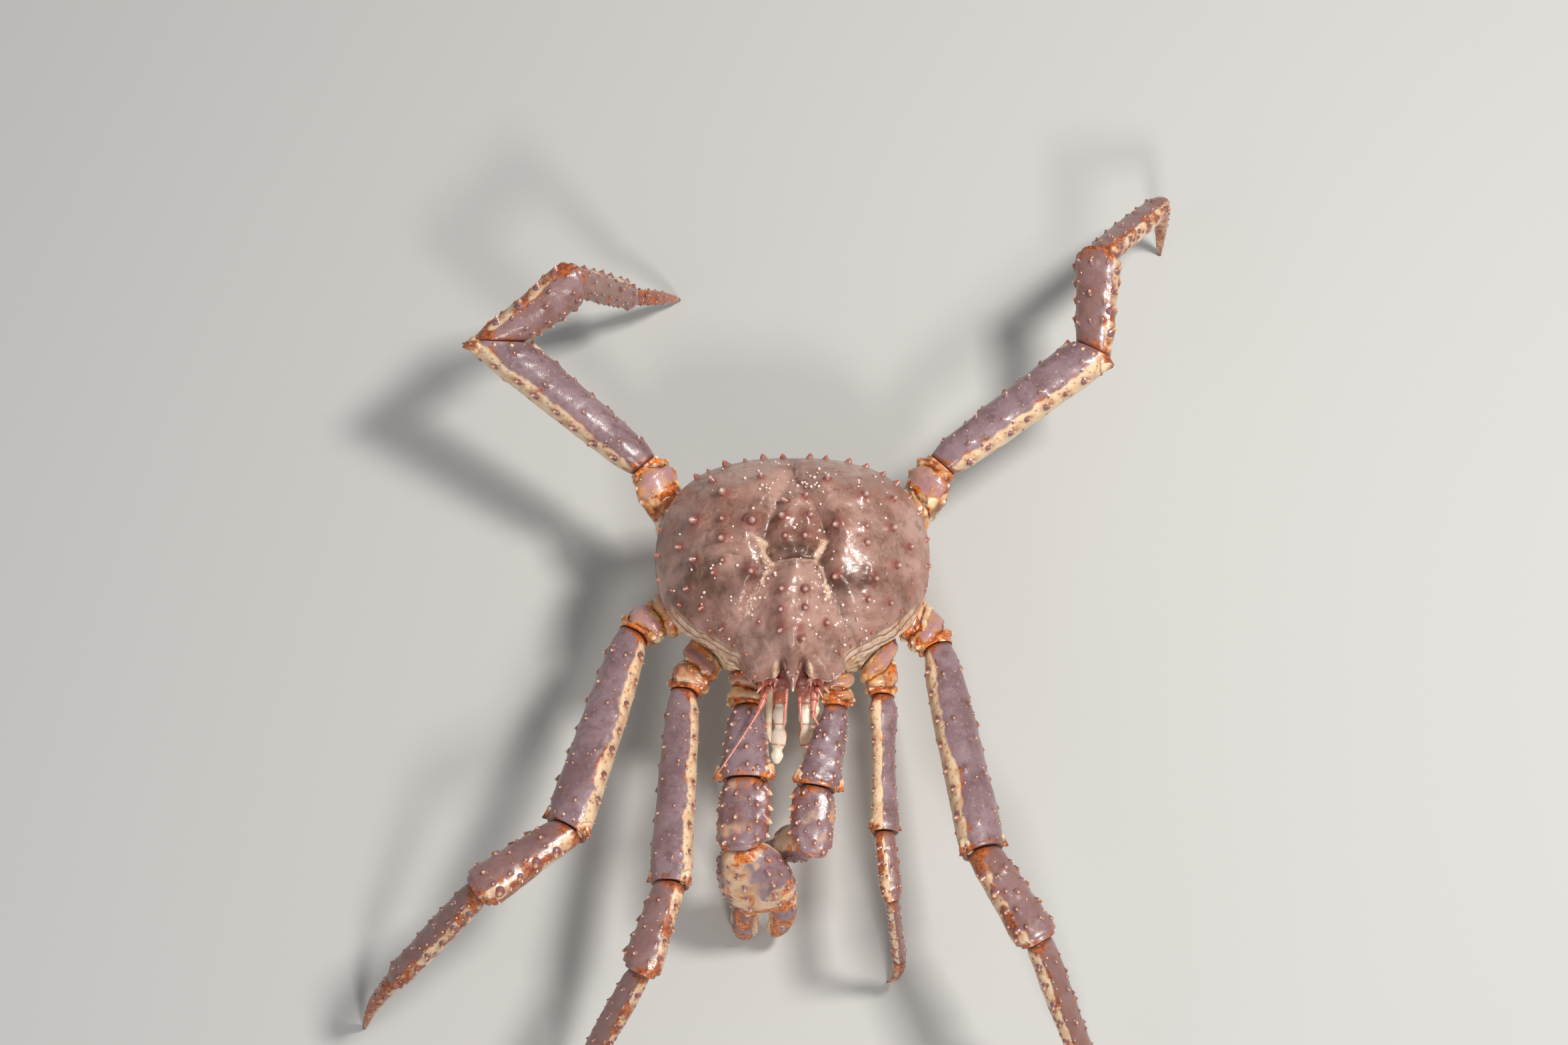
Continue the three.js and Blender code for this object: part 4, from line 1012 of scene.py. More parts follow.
def top_spines(shape):
    """The spines that stand on the shell's top."""
    rows = np.array(SHELL_SPINES)
    angle, share = on_shell(rows[:, 0], rows[:, 1])
    outward = unit(shell_outward(angle, share) - (0, TOP_SPINE["forward"], 0))
    tall = rows[:, 2]
    roots = shell_point(angle, share) + outward * TOP_SPINE["lift"] * tall[:, None]
    shape.cones(
        roots, outward, tall * TOP_SPINE["height"], tall * TOP_SPINE["girth"], BLUNT_PROFILE,
        SPINE_SIDES, core=SPINE_CORE, tip=SPINE_TIP * 0.45,
    )


def edge_spines(shape):
    """The flat spines of the shell's edge, set further in over the skirt."""
    angle, height = np.array(EDGE_SPINES).T
    turn = np.radians(angle)
    over_skirt = (np.abs(angle) > SKIRT_FROM) & (np.abs(angle) < SKIRT_TO)
    share, inset, upward = (
        np.where(over_skirt, SKIRT_SPINE[size], EDGE_SPINE[size]) for size in ("height", "inset", "upward")
    )
    tall = height * share
    outward = unit(np.stack([np.sin(turn), np.cos(turn), upward], axis=-1))
    tangent = np.stack([np.cos(turn), -np.sin(turn), np.zeros(len(turn))], axis=-1)
    roots = shell_point(angle, 1 - inset / edge_reach(angle)) - (0, 0, EDGE_SPINE["sunk"])
    shape.cones(
        roots, outward, tall, tall * EDGE_SPINE["girth"], BLUNT_PROFILE, SPINE_SIDES,
        stretch=EDGE_SPINE["stretch"], lengthwise=tangent, core=SPINE_CORE * 0.35, stain=EDGE_STAIN,
        tip=SPINE_TIP * 0.25,
    )


def shell_beads(shape):
    """Pale beads in loose clusters."""
    draw = np.random.default_rng(SHELL_BEAD_SEED)
    places = np.concatenate([
        (x, y) + size * draw.normal(size=(count, 2)) for x, y, size, count in BEAD_CLUSTERS
    ])
    angle, share = on_shell(places[:, 0], places[:, 1])
    kept = share < SHELL_BEADS_WITHIN
    angle, share = angle[kept], share[kept]
    size = draw.uniform(*SHELL_BEAD_SIZES, len(angle))
    add_beads(shape, shell_point(angle, share), shell_outward(angle, share), size)


def shell_spine_shape():
    """The shell's spines, the rostrum, the brow spines and the beads."""
    shape = Shape()
    top_spines(shape)
    edge_spines(shape)
    shell_beads(shape)
    brow = dict(core=SPINE_CORE * 0.5, stain=SPINE_TIP, tip=SPINE_TIP * 0.4)
    for side in (-1, 1):
        thorns(shape, BROW_SPINES, side, HEAD_SPINE_GIRTH, **brow)
    rostrum(shape)
    return shape


def rostrum(shape):
    """The beak between the eyes, with a forked spine on top of it."""
    points, share = rows_tube(ROSTRUM_ROWS, 1, 28, 40)
    core, tip = 0.35 * rise(share, 0.6, 0.8), rise(share, 0.85, 1)
    shape.tube(points, masks(points.shape[:2], core=core[:, None], tip=tip[:, None]))
    thorns(shape, FORKED_SPINE, 1, HEAD_SPINE_GIRTH, core=SPINE_CORE, tip=SPINE_TIP)


def add_beads(shape, roots, outward, size):
    """Low round beads."""
    shape.cones(roots, outward, size, size, BEAD_PROFILE, BEAD_SIDES, tip=BEAD_TIP)


def thorns(shape, table, side, girth, **looks):
    """Spines of the head: each row gives a spine's place and direction on the crab's left, and length."""
    rows = np.array(table) * (side, 1, 1, side, 1, 1, 1)
    length = rows[:, 6]
    shape.cones(
        rows[:, :3], unit(rows[:, 3:6]), length, length * girth, SPINE_PROFILE, SPINE_SIDES, **looks,
    )


def rows_tube(rows, side, steps, sides, swell=None):
    """A smooth tube through rows of x, y, height, width and depth. Returns its points and the share of
    the way along it of each ring."""
    table = np.array(rows, float) * (side, 1, 1, 1, 1)
    runs = np.linalg.norm(np.diff(table[:, :3], axis=0), axis=1)
    keyed = np.column_stack([np.concatenate([[0], np.cumsum(runs)]), table])
    length = keyed[-1, 0]
    inner = np.linspace(0, 1, steps)
    share = np.concatenate([inner, [1, 1]])
    shrink = np.concatenate([np.ones(steps), [0.6, 0.2]])
    place = share * length
    middle = np.stack([along(keyed, place, column) for column in (1, 2, 3)], axis=-1)
    tangent = unit(np.gradient(middle[:steps], axis=0))
    tangent = np.concatenate([tangent, tangent[-1:], tangent[-1:]])
    middle[steps:] += tangent[-1] * np.array([[0.12], [0.2]]) * keyed[-1, 4]
    across = unit(np.cross(tangent, (0, 0, 1)))
    above = np.cross(across, tangent)
    turns = np.linspace(0, 2 * np.pi, sides, endpoint=False)
    wide = along(keyed, place, 4) * shrink / 2
    deep = along(keyed, place, 5) * shrink / 2
    bulge = np.ones((len(share), sides)) if swell is None else swell(place, turns)
    points = (middle[:, None]
              + across[:, None] * (wide[:, None] * np.cos(turns) * bulge)[..., None]
              + above[:, None] * (deep[:, None] * np.sin(turns) * bulge)[..., None])
    return points, share


# Limbs
class Section:
    """A limb section between two joint planes, each given by the direction it faces. Its strip is where
    its cream front begins, and its plates say how dark the two plates of a base are."""

    def __init__(self, start, length, axes, faces, gaps, size, form, strip, bow=0, plates=None):
        self.start, self.length, self.form, self.bow = start, length, form, bow
        self.strip, self.plates = strip, plates
        self.axis, self.front, self.back = axes
        self.start_face, self.end_face = faces
        self.start_gap, self.end_gap = gaps
        self.wide, self.deep = size

    def offset(self, place, turn):
        power = 2 / SECTION_ROUNDNESS
        across = np.sign(np.cos(turn)) * np.abs(np.cos(turn)) ** power
        up = np.sign(np.sin(turn)) * np.abs(np.sin(turn)) ** power
        wide = across * self.wide * along(self.form, place, 1) / 2
        deep = up * self.deep * along(self.form, place, 2) / 2
        return wide[..., None] * self.front + deep[..., None] * self.back

    def outward(self, turn):
        across = np.cos(turn)[..., None] * self.front / self.wide
        return unit(across + np.sin(turn)[..., None] * self.back / self.deep)

    def meeting(self, place, turn, shrink, face, gap):
        """Where along the axis the end ring meets a joint plane, seen from the joint."""
        offset = self.offset(np.full(turn.shape, place), turn)
        return (gap - offset @ face * shrink) / (self.axis @ face)

    def point(self, place, turn, swell=0, shrink=1, push=0):
        """A point of the surface, raised by swell, with its ring shrunk and pushed along the limb."""
        place, turn, swell, shrink, push = np.broadcast_arrays(place, turn, swell, shrink, push)
        near = self.meeting(0, turn, shrink, self.start_face, self.start_gap)
        far = self.length + self.meeting(1, turn, shrink, self.end_face, -self.end_gap)
        run = near + (far - near) * place + push
        ring = self.offset(place, turn) * shrink[..., None] + self.outward(turn) * swell[..., None]
        bend = self.bow * np.sin(np.pi * place)
        return self.start + run[..., None] * self.axis + bend[..., None] * self.back + ring


# Rings that close a section's ends: distance from the joint plane and size, from the middle out
START_RINGS = [(0, 0.05), (0, 0.4), (0, 0.8), (0.1, 0.92), (0.6, 0.98), (1.4, 1)]
END_RINGS = [
    (-2.4, 1.01), (-1.3, 1.015), (-0.5, 1), (0, 0.96), (0, 0.91), (-0.5, 0.86), (-0.9, 0.78), (-0.7, 0.5),
    (-0.5, 0.05),
]
GRID_STEP = 0.85
END_ROWS = 4                # rows of the grid whose room the closing rings take at each end


def turned(axes, angle):
    """Directions of a section rolled round its axis."""
    axis, front, back = axes
    return axis, front * np.cos(angle) + back * np.sin(angle), back * np.cos(angle) - front * np.sin(angle)


def level_axes(axis, side):
    """Directions of a section: along it, to its front edge and out of its back."""
    up = np.array([0.0, 0.0, 1.0])
    front = unit(np.cross(up, axis)) * -side
    return axis, front, unit(up - axis * axis[2])


def bent(axes, axis):
    """The same directions past a joint that bends the limb to a new axis."""
    bend = np.array(Vector(axes[0]).rotation_difference(Vector(axis)).to_matrix())
    return axis, bend @ axes[1], bend @ axes[2]


def direction(compass, fall):
    """A direction from its bearing and its rise, both in degrees."""
    compass, fall = np.radians((compass, fall))
    return np.array([np.cos(fall) * np.cos(compass), np.cos(fall) * np.sin(compass), np.sin(fall)])


def bearing(kind, height, lengths, pose):
    """Direction of one section: the last section of a leg falls to the floor."""
    if kind != "dactyl":
        return direction(*pose[kind])
    fall = np.degrees(np.arcsin((height + EDGE_LEVEL) / lengths["dactyl"]))
    return direction(pose.get("dactyl", pose["propodus"])[0], -fall)


def hip(name, side):
    """Where a limb joins the trunk, and the direction that the trunk's side faces there."""
    place = next(number for number, limb in enumerate(LIMB_ORDER) if name.endswith(limb))
    one, two = np.array(TRUNK_OUTLINE[place]), np.array(TRUNK_OUTLINE[place + 1])
    start = np.array([side * (one[0] + two[0]) / 2, (one[1] + two[1]) / 2, -HIP_DROP])
    return start, unit(np.array([side * (two[1] - one[1]), one[0] - two[0], 0.0]))


def row_places(rows, seed, wide):
    """Place, turn, height, girth and redness of each spine of the rows, spread as in the frame."""
    made = []
    for row, (angle, first, last, count, height, girth, redness) in enumerate(rows):
        for step in range(count):
            draw = seed + row * 40 + step * 3
            place = first + (last - first) * step / (count - 1) + SPINE_JITTER["place"] * spread(draw)
            turn = np.radians(angle + SPINE_JITTER["angle"] * spread(draw + 1))
            tall = height * wide * (1 + SPINE_JITTER["height"] * spread(draw + 2)) / ROW_WIDTH
            made.append((place, turn, tall, girth, redness))
    return np.array(made)


def section_shape(part, kind, rows, seed):
    """One limb section: its skin with folds, rims and mounds, its spines and its beads."""
    shape = Shape()
    spines = row_places(rows, seed, part.wide)
    inner = np.linspace(0, 1, int(part.length / GRID_STEP))[END_ROWS:-END_ROWS]
    place = np.concatenate([np.zeros(len(START_RINGS)), inner, np.ones(len(END_RINGS))])[:, None]
    rings = START_RINGS + [(0, 1)] * len(inner) + END_RINGS
    push = np.array([row[0] for row in rings], float)[:, None]
    shrink = np.array([row[1] for row in rings], float)[:, None]
    if kind == "dactyl":
        push[-len(END_RINGS):] = 0
        shrink[-len(END_RINGS):, 0] = np.linspace(1, 0.05, len(END_RINGS))
    girth = (part.wide + part.deep) * 1.6 * max(row[1] for row in part.form)
    turn = np.linspace(0, 2 * np.pi, int(girth / GRID_STEP), endpoint=False)[None]
    swell, core = section_swell(part, kind, place, turn, spines, seed)
    swell = swell * rise(shrink, 0.9, 1)
    points = part.point(place, turn, swell, shrink, push)
    looks = section_masks(part, kind, place, turn, shrink, points, core, seed)
    shape.tube(points, looks)
    add_row_spines(shape, part, kind, spines, seed)
    return shape


# Folds round a leg base, between its short segments: place, height, half width
BASE_FOLDS = [(0.3, 1.6, 4), (0.46, -2.2, 2), (0.72, 1.2, 4), (0.84, -1.6, 1.6), (0.93, 1, 1.4)]
BASE_GROOVES = [0.46, 0.84]
BASE_RIM = 0.93
FIRST_PLATE = ((0.06, 0.14), (0.36, 0.42))      # where the two dark plates of a base begin and end
SECOND_PLATE = ((0.54, 0.6), (0.76, 0.82))
BASE_PLATES = {"claw": (0.8, 0.35), "front_leg": (1, 0.4), "middle_leg": (0.5, 1), "rear_leg": (0.4, 1)}

# Dotted seam along a merus and a carpus: angle, half width, spacing
SEAM_TURN, SEAM_HALF, SEAM_STEP = 0.5, 0.06, 6.3


def fold_place(place, turn, points):
    """The place along a base with its folds set aslant and uneven."""
    return place - 0.1 * np.sin(turn + 0.9) + rough(points, FOLD_LUMPS)


def section_swell(part, kind, place, turn, spines, seed):
    """How far the skin stands out from the plain form, and how dark it is at the spines' feet."""
    skin = part.point(place, turn)
    swell = rough(skin, LIMB_LUMPS, seed)
    ends = rise(place * part.length, 2, 9) * rise((1 - place) * part.length, 1, 5)
    core = np.zeros(swell.shape)
    for spot, angle, tall, girth, redness in spines:
        sideways = (np.mod(turn - angle + np.pi, 2 * np.pi) - np.pi) * part.wide * 0.45
        lengthwise = (place - spot) * part.length / (1 + 0.7 * redness)
        reach = np.hypot(sideways, lengthwise)
        swell += 0.34 * tall * hill(reach, 1.5 * girth * tall + 0.4) * ends
        core = np.maximum(core, 0.8 * redness * hill(reach, 1.25 * girth * tall + 0.5))
    if kind == "base":
        uneven = fold_place(place, turn, skin)
        for spot, tall, half in BASE_FOLDS:
            swell += tall * hill((uneven - spot) * part.length, half)
        swell += 1.1 * lumps(skin, 7, seed + 6) * (1 - rise(np.sin(turn), 0.1, 0.5))
    if kind in ("merus", "carpus"):
        rim = hill((1 - place) * part.length - 3, 2.6)
        sides = np.abs(np.cos(turn)) ** 6
        swell += rim * (0.15 + 0.12 * np.cos(turn * 7) + 1.2 * sides) * part.wide / ROW_WIDTH
    return swell, core


class Skin:
    """The skin of one limb section as its paint sees it: places, turns, and uneven measures of them."""

    def __init__(self, part, place, turn, points, seed):
        self.part, self.place, self.turn, self.points, self.seed = part, place, turn, points, seed
        self.near = place * part.length
        self.far = (1 - place) * part.length
        self.wander = rough(points, WANDER_LUMPS, seed)
        self.front = np.cos(turn) + self.wander
        self.below = -np.sin(turn) + self.wander

    def lumps(self, size, own):
        return lumps(self.points, size, self.seed + own)

    def patches(self, size, own, low, high):
        """Patches where the lumps of that size rise from low to high."""
        return rise(self.lumps(size, own), low, high)


def plain_looks(skin, shrink):
    """What all sections share: cream front and underside, stained ends, dark joints."""
    part, front = skin.part, skin.front
    cream = np.maximum(rise(front, part.strip - 0.05, part.strip + 0.3), rise(skin.below, 0, 0.5))
    joint = np.maximum(rise(-shrink, -0.94, -0.9), 0.8 * hill(skin.near, 1.2))
    joint = np.where((skin.place > 0.5) & (shrink > 0.95), 0, joint)
    edges = np.abs(np.cos(skin.turn)) ** 4
    stain = 0.75 * hill(skin.near, 7) * rise(front, -0.6, 0.4)
    stain = stain + 0.3 * hill(skin.far, 2.5) + 0.6 * edges * hill(skin.far, 9)
    border = hill(front - part.strip - 0.02, 0.07) * skin.patches(9, 6, -0.5, 0.3)
    stain = stain + 0.5 * border * (part.strip < CLAW_STRIP)
    return dict(cream=cream, joint=joint, stain=stain, brown=0.35 * rise(-front, 0.35, 0.9), pit=0)


def base_looks(skin, looks):
    """Orange and cream rings with dark plates on the back, painted shade in the grooves, and dark veins."""
    uneven = fold_place(skin.place, skin.turn, skin.points)
    grooves = sum(hill((uneven - spot) * skin.part.length, 1.1) for spot in BASE_GROOVES)
    back = rise(np.sin(skin.turn) + 0.5 * skin.lumps(9, 5), 0.15, 0.5)
    first, second = skin.part.plates
    plate = back * (first * stripe(uneven, *FIRST_PLATE) + second * stripe(uneven, *SECOND_PLATE))
    veins = hill(skin.lumps(8, 7), 0.12) * skin.patches(14, 9, -0.5, 0.1)
    stain = 0.8 * grooves + 0.7 * hill(uneven - BASE_RIM, 0.06) + 0.8 * skin.patches(6, 10, -0.05, 0.35)
    # Painted shade in the grooves, and real dark veins off the plates
    pit = np.maximum(0.9 * grooves * skin.patches(6, 8, -0.7, 0.1), 0.8 * veins * (1 - plate))
    cream = 0.55 + 0.6 * skin.lumps(8, 7) + 0.3 * rise(skin.below, 0, 0.4) - plate
    looks.update(cream=cream, stain=stain * (1 - plate), brown=plate, pit=pit)


def merus_looks(skin, looks):
    """A dotted seam along the front."""
    dots = hill(skin.turn - SEAM_TURN, SEAM_HALF) * rise(np.cos(skin.near * 2 * np.pi / SEAM_STEP), 0.6, 0.95)
    looks["pit"] = 0.7 * dots * rise(skin.near, 8, 14)


def carpus_looks(skin, looks):
    """The seam, and brown with orange blotches on a leg or tan patches on a claw."""
    merus_looks(skin, looks)
    leg = skin.part.strip < CLAW_STRIP
    blotch = skin.patches(7, 9, -0.3, 0.4) * leg
    looks["cream"] = np.maximum(looks["cream"], 0.42 * skin.patches(10, 10, -0.3, 0.5) * (not leg))
    looks["brown"] = looks["brown"] + 0.2 + 0.35 * leg
    orange = 0.75 * rise(np.abs(skin.front), 0.5, 0.9) + 0.4 * hill(skin.far, 9)
    looks["stain"] = looks["stain"] + orange * blotch


def propodus_looks(skin, looks):
    """Brown with orange blotches along both edges."""
    blotch = rise(np.abs(skin.front), 0.3, 0.8) * skin.patches(7, 9, -0.4, 0.4)
    looks.update(brown=0.75, stain=looks["stain"] + 0.6 * blotch)


def dactyl_looks(skin, looks):
    """Orange-brown with a dark tip."""
    joint = np.maximum(looks["joint"], 0.9 * rise(skin.place, 0.9, 0.97))
    looks.update(brown=0.8, stain=0.6, joint=joint)


def palm_looks(skin, looks):
    """Lilac with a cream streak, brown patches and an orange end with dark freckles."""
    place, wander = skin.place, skin.wander
    patch = rough(skin.points, PALM_LUMPS, skin.seed)
    streak = hill(skin.turn - 1.95 + 0.8 * wander, 0.5) * (1 - 0.5 * rise(place, 0.5, 0.9))
    blotch = rise(place + 0.3 * wander, 0.74, 0.88) * rise(patch, -0.35, 0.3)
    cream = np.maximum.reduce([
        streak, 0.8 * rise(place - 0.3 * patch, 0.5, 0.8), rise(skin.below, 0.1, 0.45),
        0.6 * rise(patch, 0.3, 0.7),
    ])
    brown = np.maximum(0.8 * rise(-skin.front, 0.2, 0.75) * rise(patch, -0.5, 0.2), blotch)
    stain = 0.4 * hill(skin.near, 8) + 0.9 * rise(place - 0.3 * wander, 0.86, 0.97)
    stain = stain + 0.55 * skin.patches(5, 8, 0.1, 0.5)
    looks.update(cream=cream, brown=brown, stain=stain, pit=0.6 * blotch * skin.patches(3.2, 7, 0.1, 0.6))


OWN_LOOKS = dict(
    base=base_looks, merus=merus_looks, carpus=carpus_looks, propodus=propodus_looks,
    dactyl=dactyl_looks, palm=palm_looks,
)


def section_masks(part, kind, place, turn, shrink, points, core, seed):
    """Paint masks of one limb section: what all share, changed by what its kind has of its own."""
    skin = Skin(part, place, turn, points, seed)
    looks = plain_looks(skin, shrink)
    OWN_LOOKS[kind](skin, looks)
    return masks(points.shape[:2], core=core, **looks)


def add_row_spines(shape, part, kind, spines, seed):
    """Spines on their mounds, the rim's large lobes, and scattered beads."""
    sharp = spines[:, 4] >= SHARP_FROM
    for profile, chosen in ((SPINE_PROFILE, sharp), (BLUNT_PROFILE, ~sharp)):
        place, turn, tall, girth, redness = spines[chosen].T
        if len(place):
            shape.cones(
                part.point(place, turn, 0.1 * tall), unit(part.outward(turn) + SPINE_LEAN * part.axis),
                tall, tall * girth * 1.1, profile, SPINE_SIDES, stretch=1.2, lengthwise=part.axis,
                core=0.8 * redness[:, None] * SPINE_CORE, tip=np.tile(SPINE_TIP, (len(tall), 1)),
            )
    draw = np.random.default_rng(seed)
    count = int(part.length * part.wide / BEAD_SPACING)
    place = draw.uniform(*LIMB_BEAD_PLACES, count)
    turn = draw.uniform(*LIMB_BEAD_TURNS, count)
    size = draw.uniform(*LIMB_BEAD_SIZES, count)
    add_beads(shape, part.point(place, turn, 0.1), part.outward(turn), size)
    if kind == "merus":
        add_lobes(shape, part)


# Blunt teeth of a merus's outer rim, largest at its two sides: angle, height, distance from the end
LOBES = [
    (6, 5.4, 4.6), (24, 3.4, 4), (-14, 3.2, 4), (174, 5.2, 4.6), (156, 3.2, 4), (194, 3, 4),
    (92, 1.8, 3.4), (66, 1.6, 3.4), (118, 1.6, 3.4),
]


def add_lobes(shape, part):
    """Teeth round a merus's outer rim."""
    angle, height, inset = np.array(LOBES, float).T
    turn = np.radians(angle)
    tall = height * part.wide / ROW_WIDTH
    outward = unit(part.outward(turn) + 0.75 * part.axis)
    roots = part.point(1 - inset / part.length, turn, -0.5)
    rows = len(SPINE_PROFILE)
    shape.cones(
        roots, outward, tall, tall * 0.62, SPINE_PROFILE, SPINE_SIDES, stretch=1.3,
        lengthwise=part.axis, cream=np.linspace(1, 0.6, rows), stain=np.linspace(0.1, 1, rows),
        core=LOBE_CORE,
    )


def finger_middle(place):
    """How far a finger's middle lies to the side of the palm's, as a share of its width."""
    bow = FINGER_SET["bow"] * np.sin(np.pi * np.maximum(place, 0))
    return FINGER_SET["root"] + (FINGER_SET["tip"] - FINGER_SET["root"]) * place + bow


def finger_shape(shape, end, axes, reach, size, lean, way, first):
    """One claw finger with its row of white knobs, from inside the palm or from its end face."""
    axis, front, back = axes
    wide, deep = size
    steps = int(reach / FINGER_STEP)
    place = np.concatenate([np.linspace(first, 1, steps), [1.02, 1.03]])
    shrink = np.concatenate([np.ones(steps), [0.6, 0.15]])[:, None]
    turn = np.linspace(0, 2 * np.pi, FINGER_SIDES, endpoint=False)
    inner = np.clip(place, first, 1)
    middle = way * finger_middle(inner) + lean * np.maximum(inner, 0)
    girth_x, girth_y = (along(FINGER_FORM, inner, column)[:, None] / 2 * shrink for column in (1, 2))
    sideways = wide * (middle[:, None] + girth_x * np.cos(turn))
    upwards = deep * girth_y * np.sin(turn)
    points = end + (place * reach)[:, None, None] * axis
    points = points + sideways[..., None] * front + upwards[..., None] * back
    outward = unit(np.cos(turn)[:, None] * front + np.sin(turn)[:, None] * back)
    facing = -way * np.cos(turn)
    ripple = np.sin(place * reach * 1.1)[:, None] * rise(np.abs(facing), 0.2, 0.9)
    swell = rough(points, FINGER_LUMPS) + 0.22 * ripple
    points = points + (swell * shrink)[..., None] * outward
    shape.tube(points, finger_masks(points, place[:, None], facing))
    add_knobs(shape, end, axes, reach, wide, lean, way)


def finger_masks(points, place, facing):
    """White inner edge and tip, orange and cream patches, brown outer edge."""
    white = np.maximum(rise(facing, 0.55, 0.9), rise(place, 0.86, 0.98))
    coloured = 1 - white
    return masks(
        points.shape[:2], cream=np.maximum(white, 0.85 * rise(lumps(points, 8, 15), 0, 0.4)),
        stain=coloured * (0.3 + 0.7 * rise(lumps(points, 5, 14), -0.15, 0.25)),
        brown=0.7 * rise(-facing, 0.5, 0.9),
        pit=0.5 * coloured * rise(lumps(points, 2.6, 16), 0.3, 0.6),
        core=0.5 * coloured * rise(lumps(points, 3.4, 13), 0.25, 0.5),
    )


def add_knobs(shape, end, axes, reach, wide, lean, way):
    """The row of white knobs on a finger's inner edge."""
    axis, front = axes[:2]
    place = np.linspace(0.12, 0.92, len(KNOB_HEIGHTS) * 2)
    tall = np.tile(KNOB_HEIGHTS, 2) * wide / KNOB_WIDTH
    inner_edge = way * (finger_middle(place) - along(FINGER_FORM, place, 1) / 2) + lean * place
    roots = end + (place * reach)[:, None] * axis + (wide * inner_edge)[:, None] * front
    toward = np.tile(-way * front, (len(place), 1))
    white = np.ones(len(BEAD_PROFILE))
    shape.cones(roots, toward, tall * 0.8, tall * 0.9, BEAD_PROFILE, KNOB_SIDES, cream=white)


LEG_PAINT = carapace("wet_leg_shell", LEG_TONES)
CLAW_PAINT = carapace("wet_claw_shell", CLAW_TONES)
BASE_PAINT = carapace("wet_limb_base", BASE_TONES)
SHELL_PAINT = carapace("wet_back_shell", SHELL_TONES)
UNDER_PAINT = carapace("pale_underside", UNDER_TONES, DAMP_COAT)
EYE_PAINT = carapace("eye", EYE_TONES, EYE_COAT)
FEELER_PAINT = carapace("feeler", FEELER_TONES)
MOUTH_PAINT = carapace("mouthpart", MOUTH_TONES)


def make_limb(name, limb, number):
    """Pieces of one limb, each section set on the end of the one before."""
    side = 1 if name.startswith("left") else -1
    claw = name.endswith("claw")
    lengths, pose = limb["lengths"], limb["pose"]
    order = list(lengths)
    strip = CLAW_STRIP if claw else limb.get("strip", CREAM_STRIP)
    plates = next(shares for limb_kind, shares in BASE_PLATES.items() if name.endswith(limb_kind))
    start, start_face = hip(name, side)
    axes = None
    for place, kind in enumerate(order):
        axis = bearing(kind, start[2], lengths, pose)
        end = start + axis * lengths[kind]
        axes = bent(axes, axis) if place else turned(level_axes(axis, side), np.radians(limb["roll"]))
        last = place == len(order) - 1
        following = axis if last else bearing(order[place + 1], end[2], lengths, pose)
        end_face = np.array([0, 0, -1.0]) if kind == "dactyl" else unit(axis + following)
        faces = (start_face, end_face)
        gaps = (GAP / 2 if place else GAP, 0 if last else GAP / 2)
        seed = number * 1000 + place * 200
        if kind == "chela":
            make_chela(name, limb, start, turned(axes, np.radians(limb["twist"])), faces, gaps, seed)
        else:
            form = OWN_FORMS.get(name, LEG_FORMS)[kind]
            bow = DACTYL_BOW if kind == "dactyl" else 0
            part = Section(start, lengths[kind], axes, faces, gaps, limb["size"], form, strip, bow, plates)
            shape = section_shape(part, kind, (CLAW_ROWS if claw else LEG_ROWS)[kind], seed)
            material = BASE_PAINT if kind == "base" else CLAW_PAINT if claw else LEG_PAINT
            make_piece(f"{name}_{kind}_skin", shape, material, f"{name}_{kind}")
        start, start_face = end, end_face


def make_chela(name, limb, start, axes, faces, gaps, seed):
    """The palm with its fixed finger, and the finger that opens beside it."""
    whole = limb["lengths"]["chela"]
    wide, deep = limb["pincer"]
    length = whole * (1 - FINGER_SHARE)
    part = Section(start, length, axes, faces, gaps, (wide, deep), CLAW_FORMS["palm"], CLAW_STRIP)
    shape = section_shape(part, "palm", CLAW_ROWS["palm"], seed)
    end = start + axes[0] * length
    size = (wide * PALM_WIDTH, deep * PALM_DEPTH)
    finger_shape(shape, end, axes, whole * FINGER_SHARE, size, limb["lean"], -1, FIXED_FINGER_FROM)
    make_piece(f"{name}_palm_skin", shape, CLAW_PAINT, f"{name}_palm")
    opening = Shape()
    end = end + axes[0] * GAP
    finger_shape(opening, end, axes, whole * FINGER_SHARE, size, limb["lean"], 1, OPENING_FINGER_FROM)
    make_piece(f"{name}_finger_skin", opening, CLAW_PAINT, f"{name}_finger")


# Head parts: distances of their joints along them, and their lengths where the joints need them
ANTENNULE_JOINTS = (12, 23)
ANTENNULE_LENGTH = 41
ANTENNA_JOINTS = (12, 22.5, 31)
MOUTH_JOINTS = (18, 33, 48)
MOUTH_LENGTH = 61
MOUTH_SIDES = 36


def make_eye(word, side):
    """An eye on its stalk, dark on its upper side."""
    shape = Shape()
    points, share = rows_tube(EYE_ROWS, side, 46, 40)
    height = points[..., 2] - points[..., 2].mean(axis=1, keepdims=True)
    # Darker on the upper side towards the tip
    dark_upper_tip = rise(share, 0.72, 0.8)[:, None] * rise(height, -2.6, -0.4)
    cream = 0.5 * rise(share, 0.2, 0.5)[:, None]
    shape.tube(points, masks(points.shape[:2], core=dark_upper_tip, cream=cream))
    make_piece(f"{word}_eye_bulb", shape, EYE_PAINT, f"{word}_eye")


def joint_swell(joints):
    """Knuckles of a feeler at distances along it, and fine rings between."""
    def swell(place, turns):
        knuckles = sum(hill(place - joint, 1.4) for joint in joints)
        return (1 + 0.16 * knuckles + 0.03 * np.sin(place * 4))[:, None] * np.ones(len(turns))
    return swell


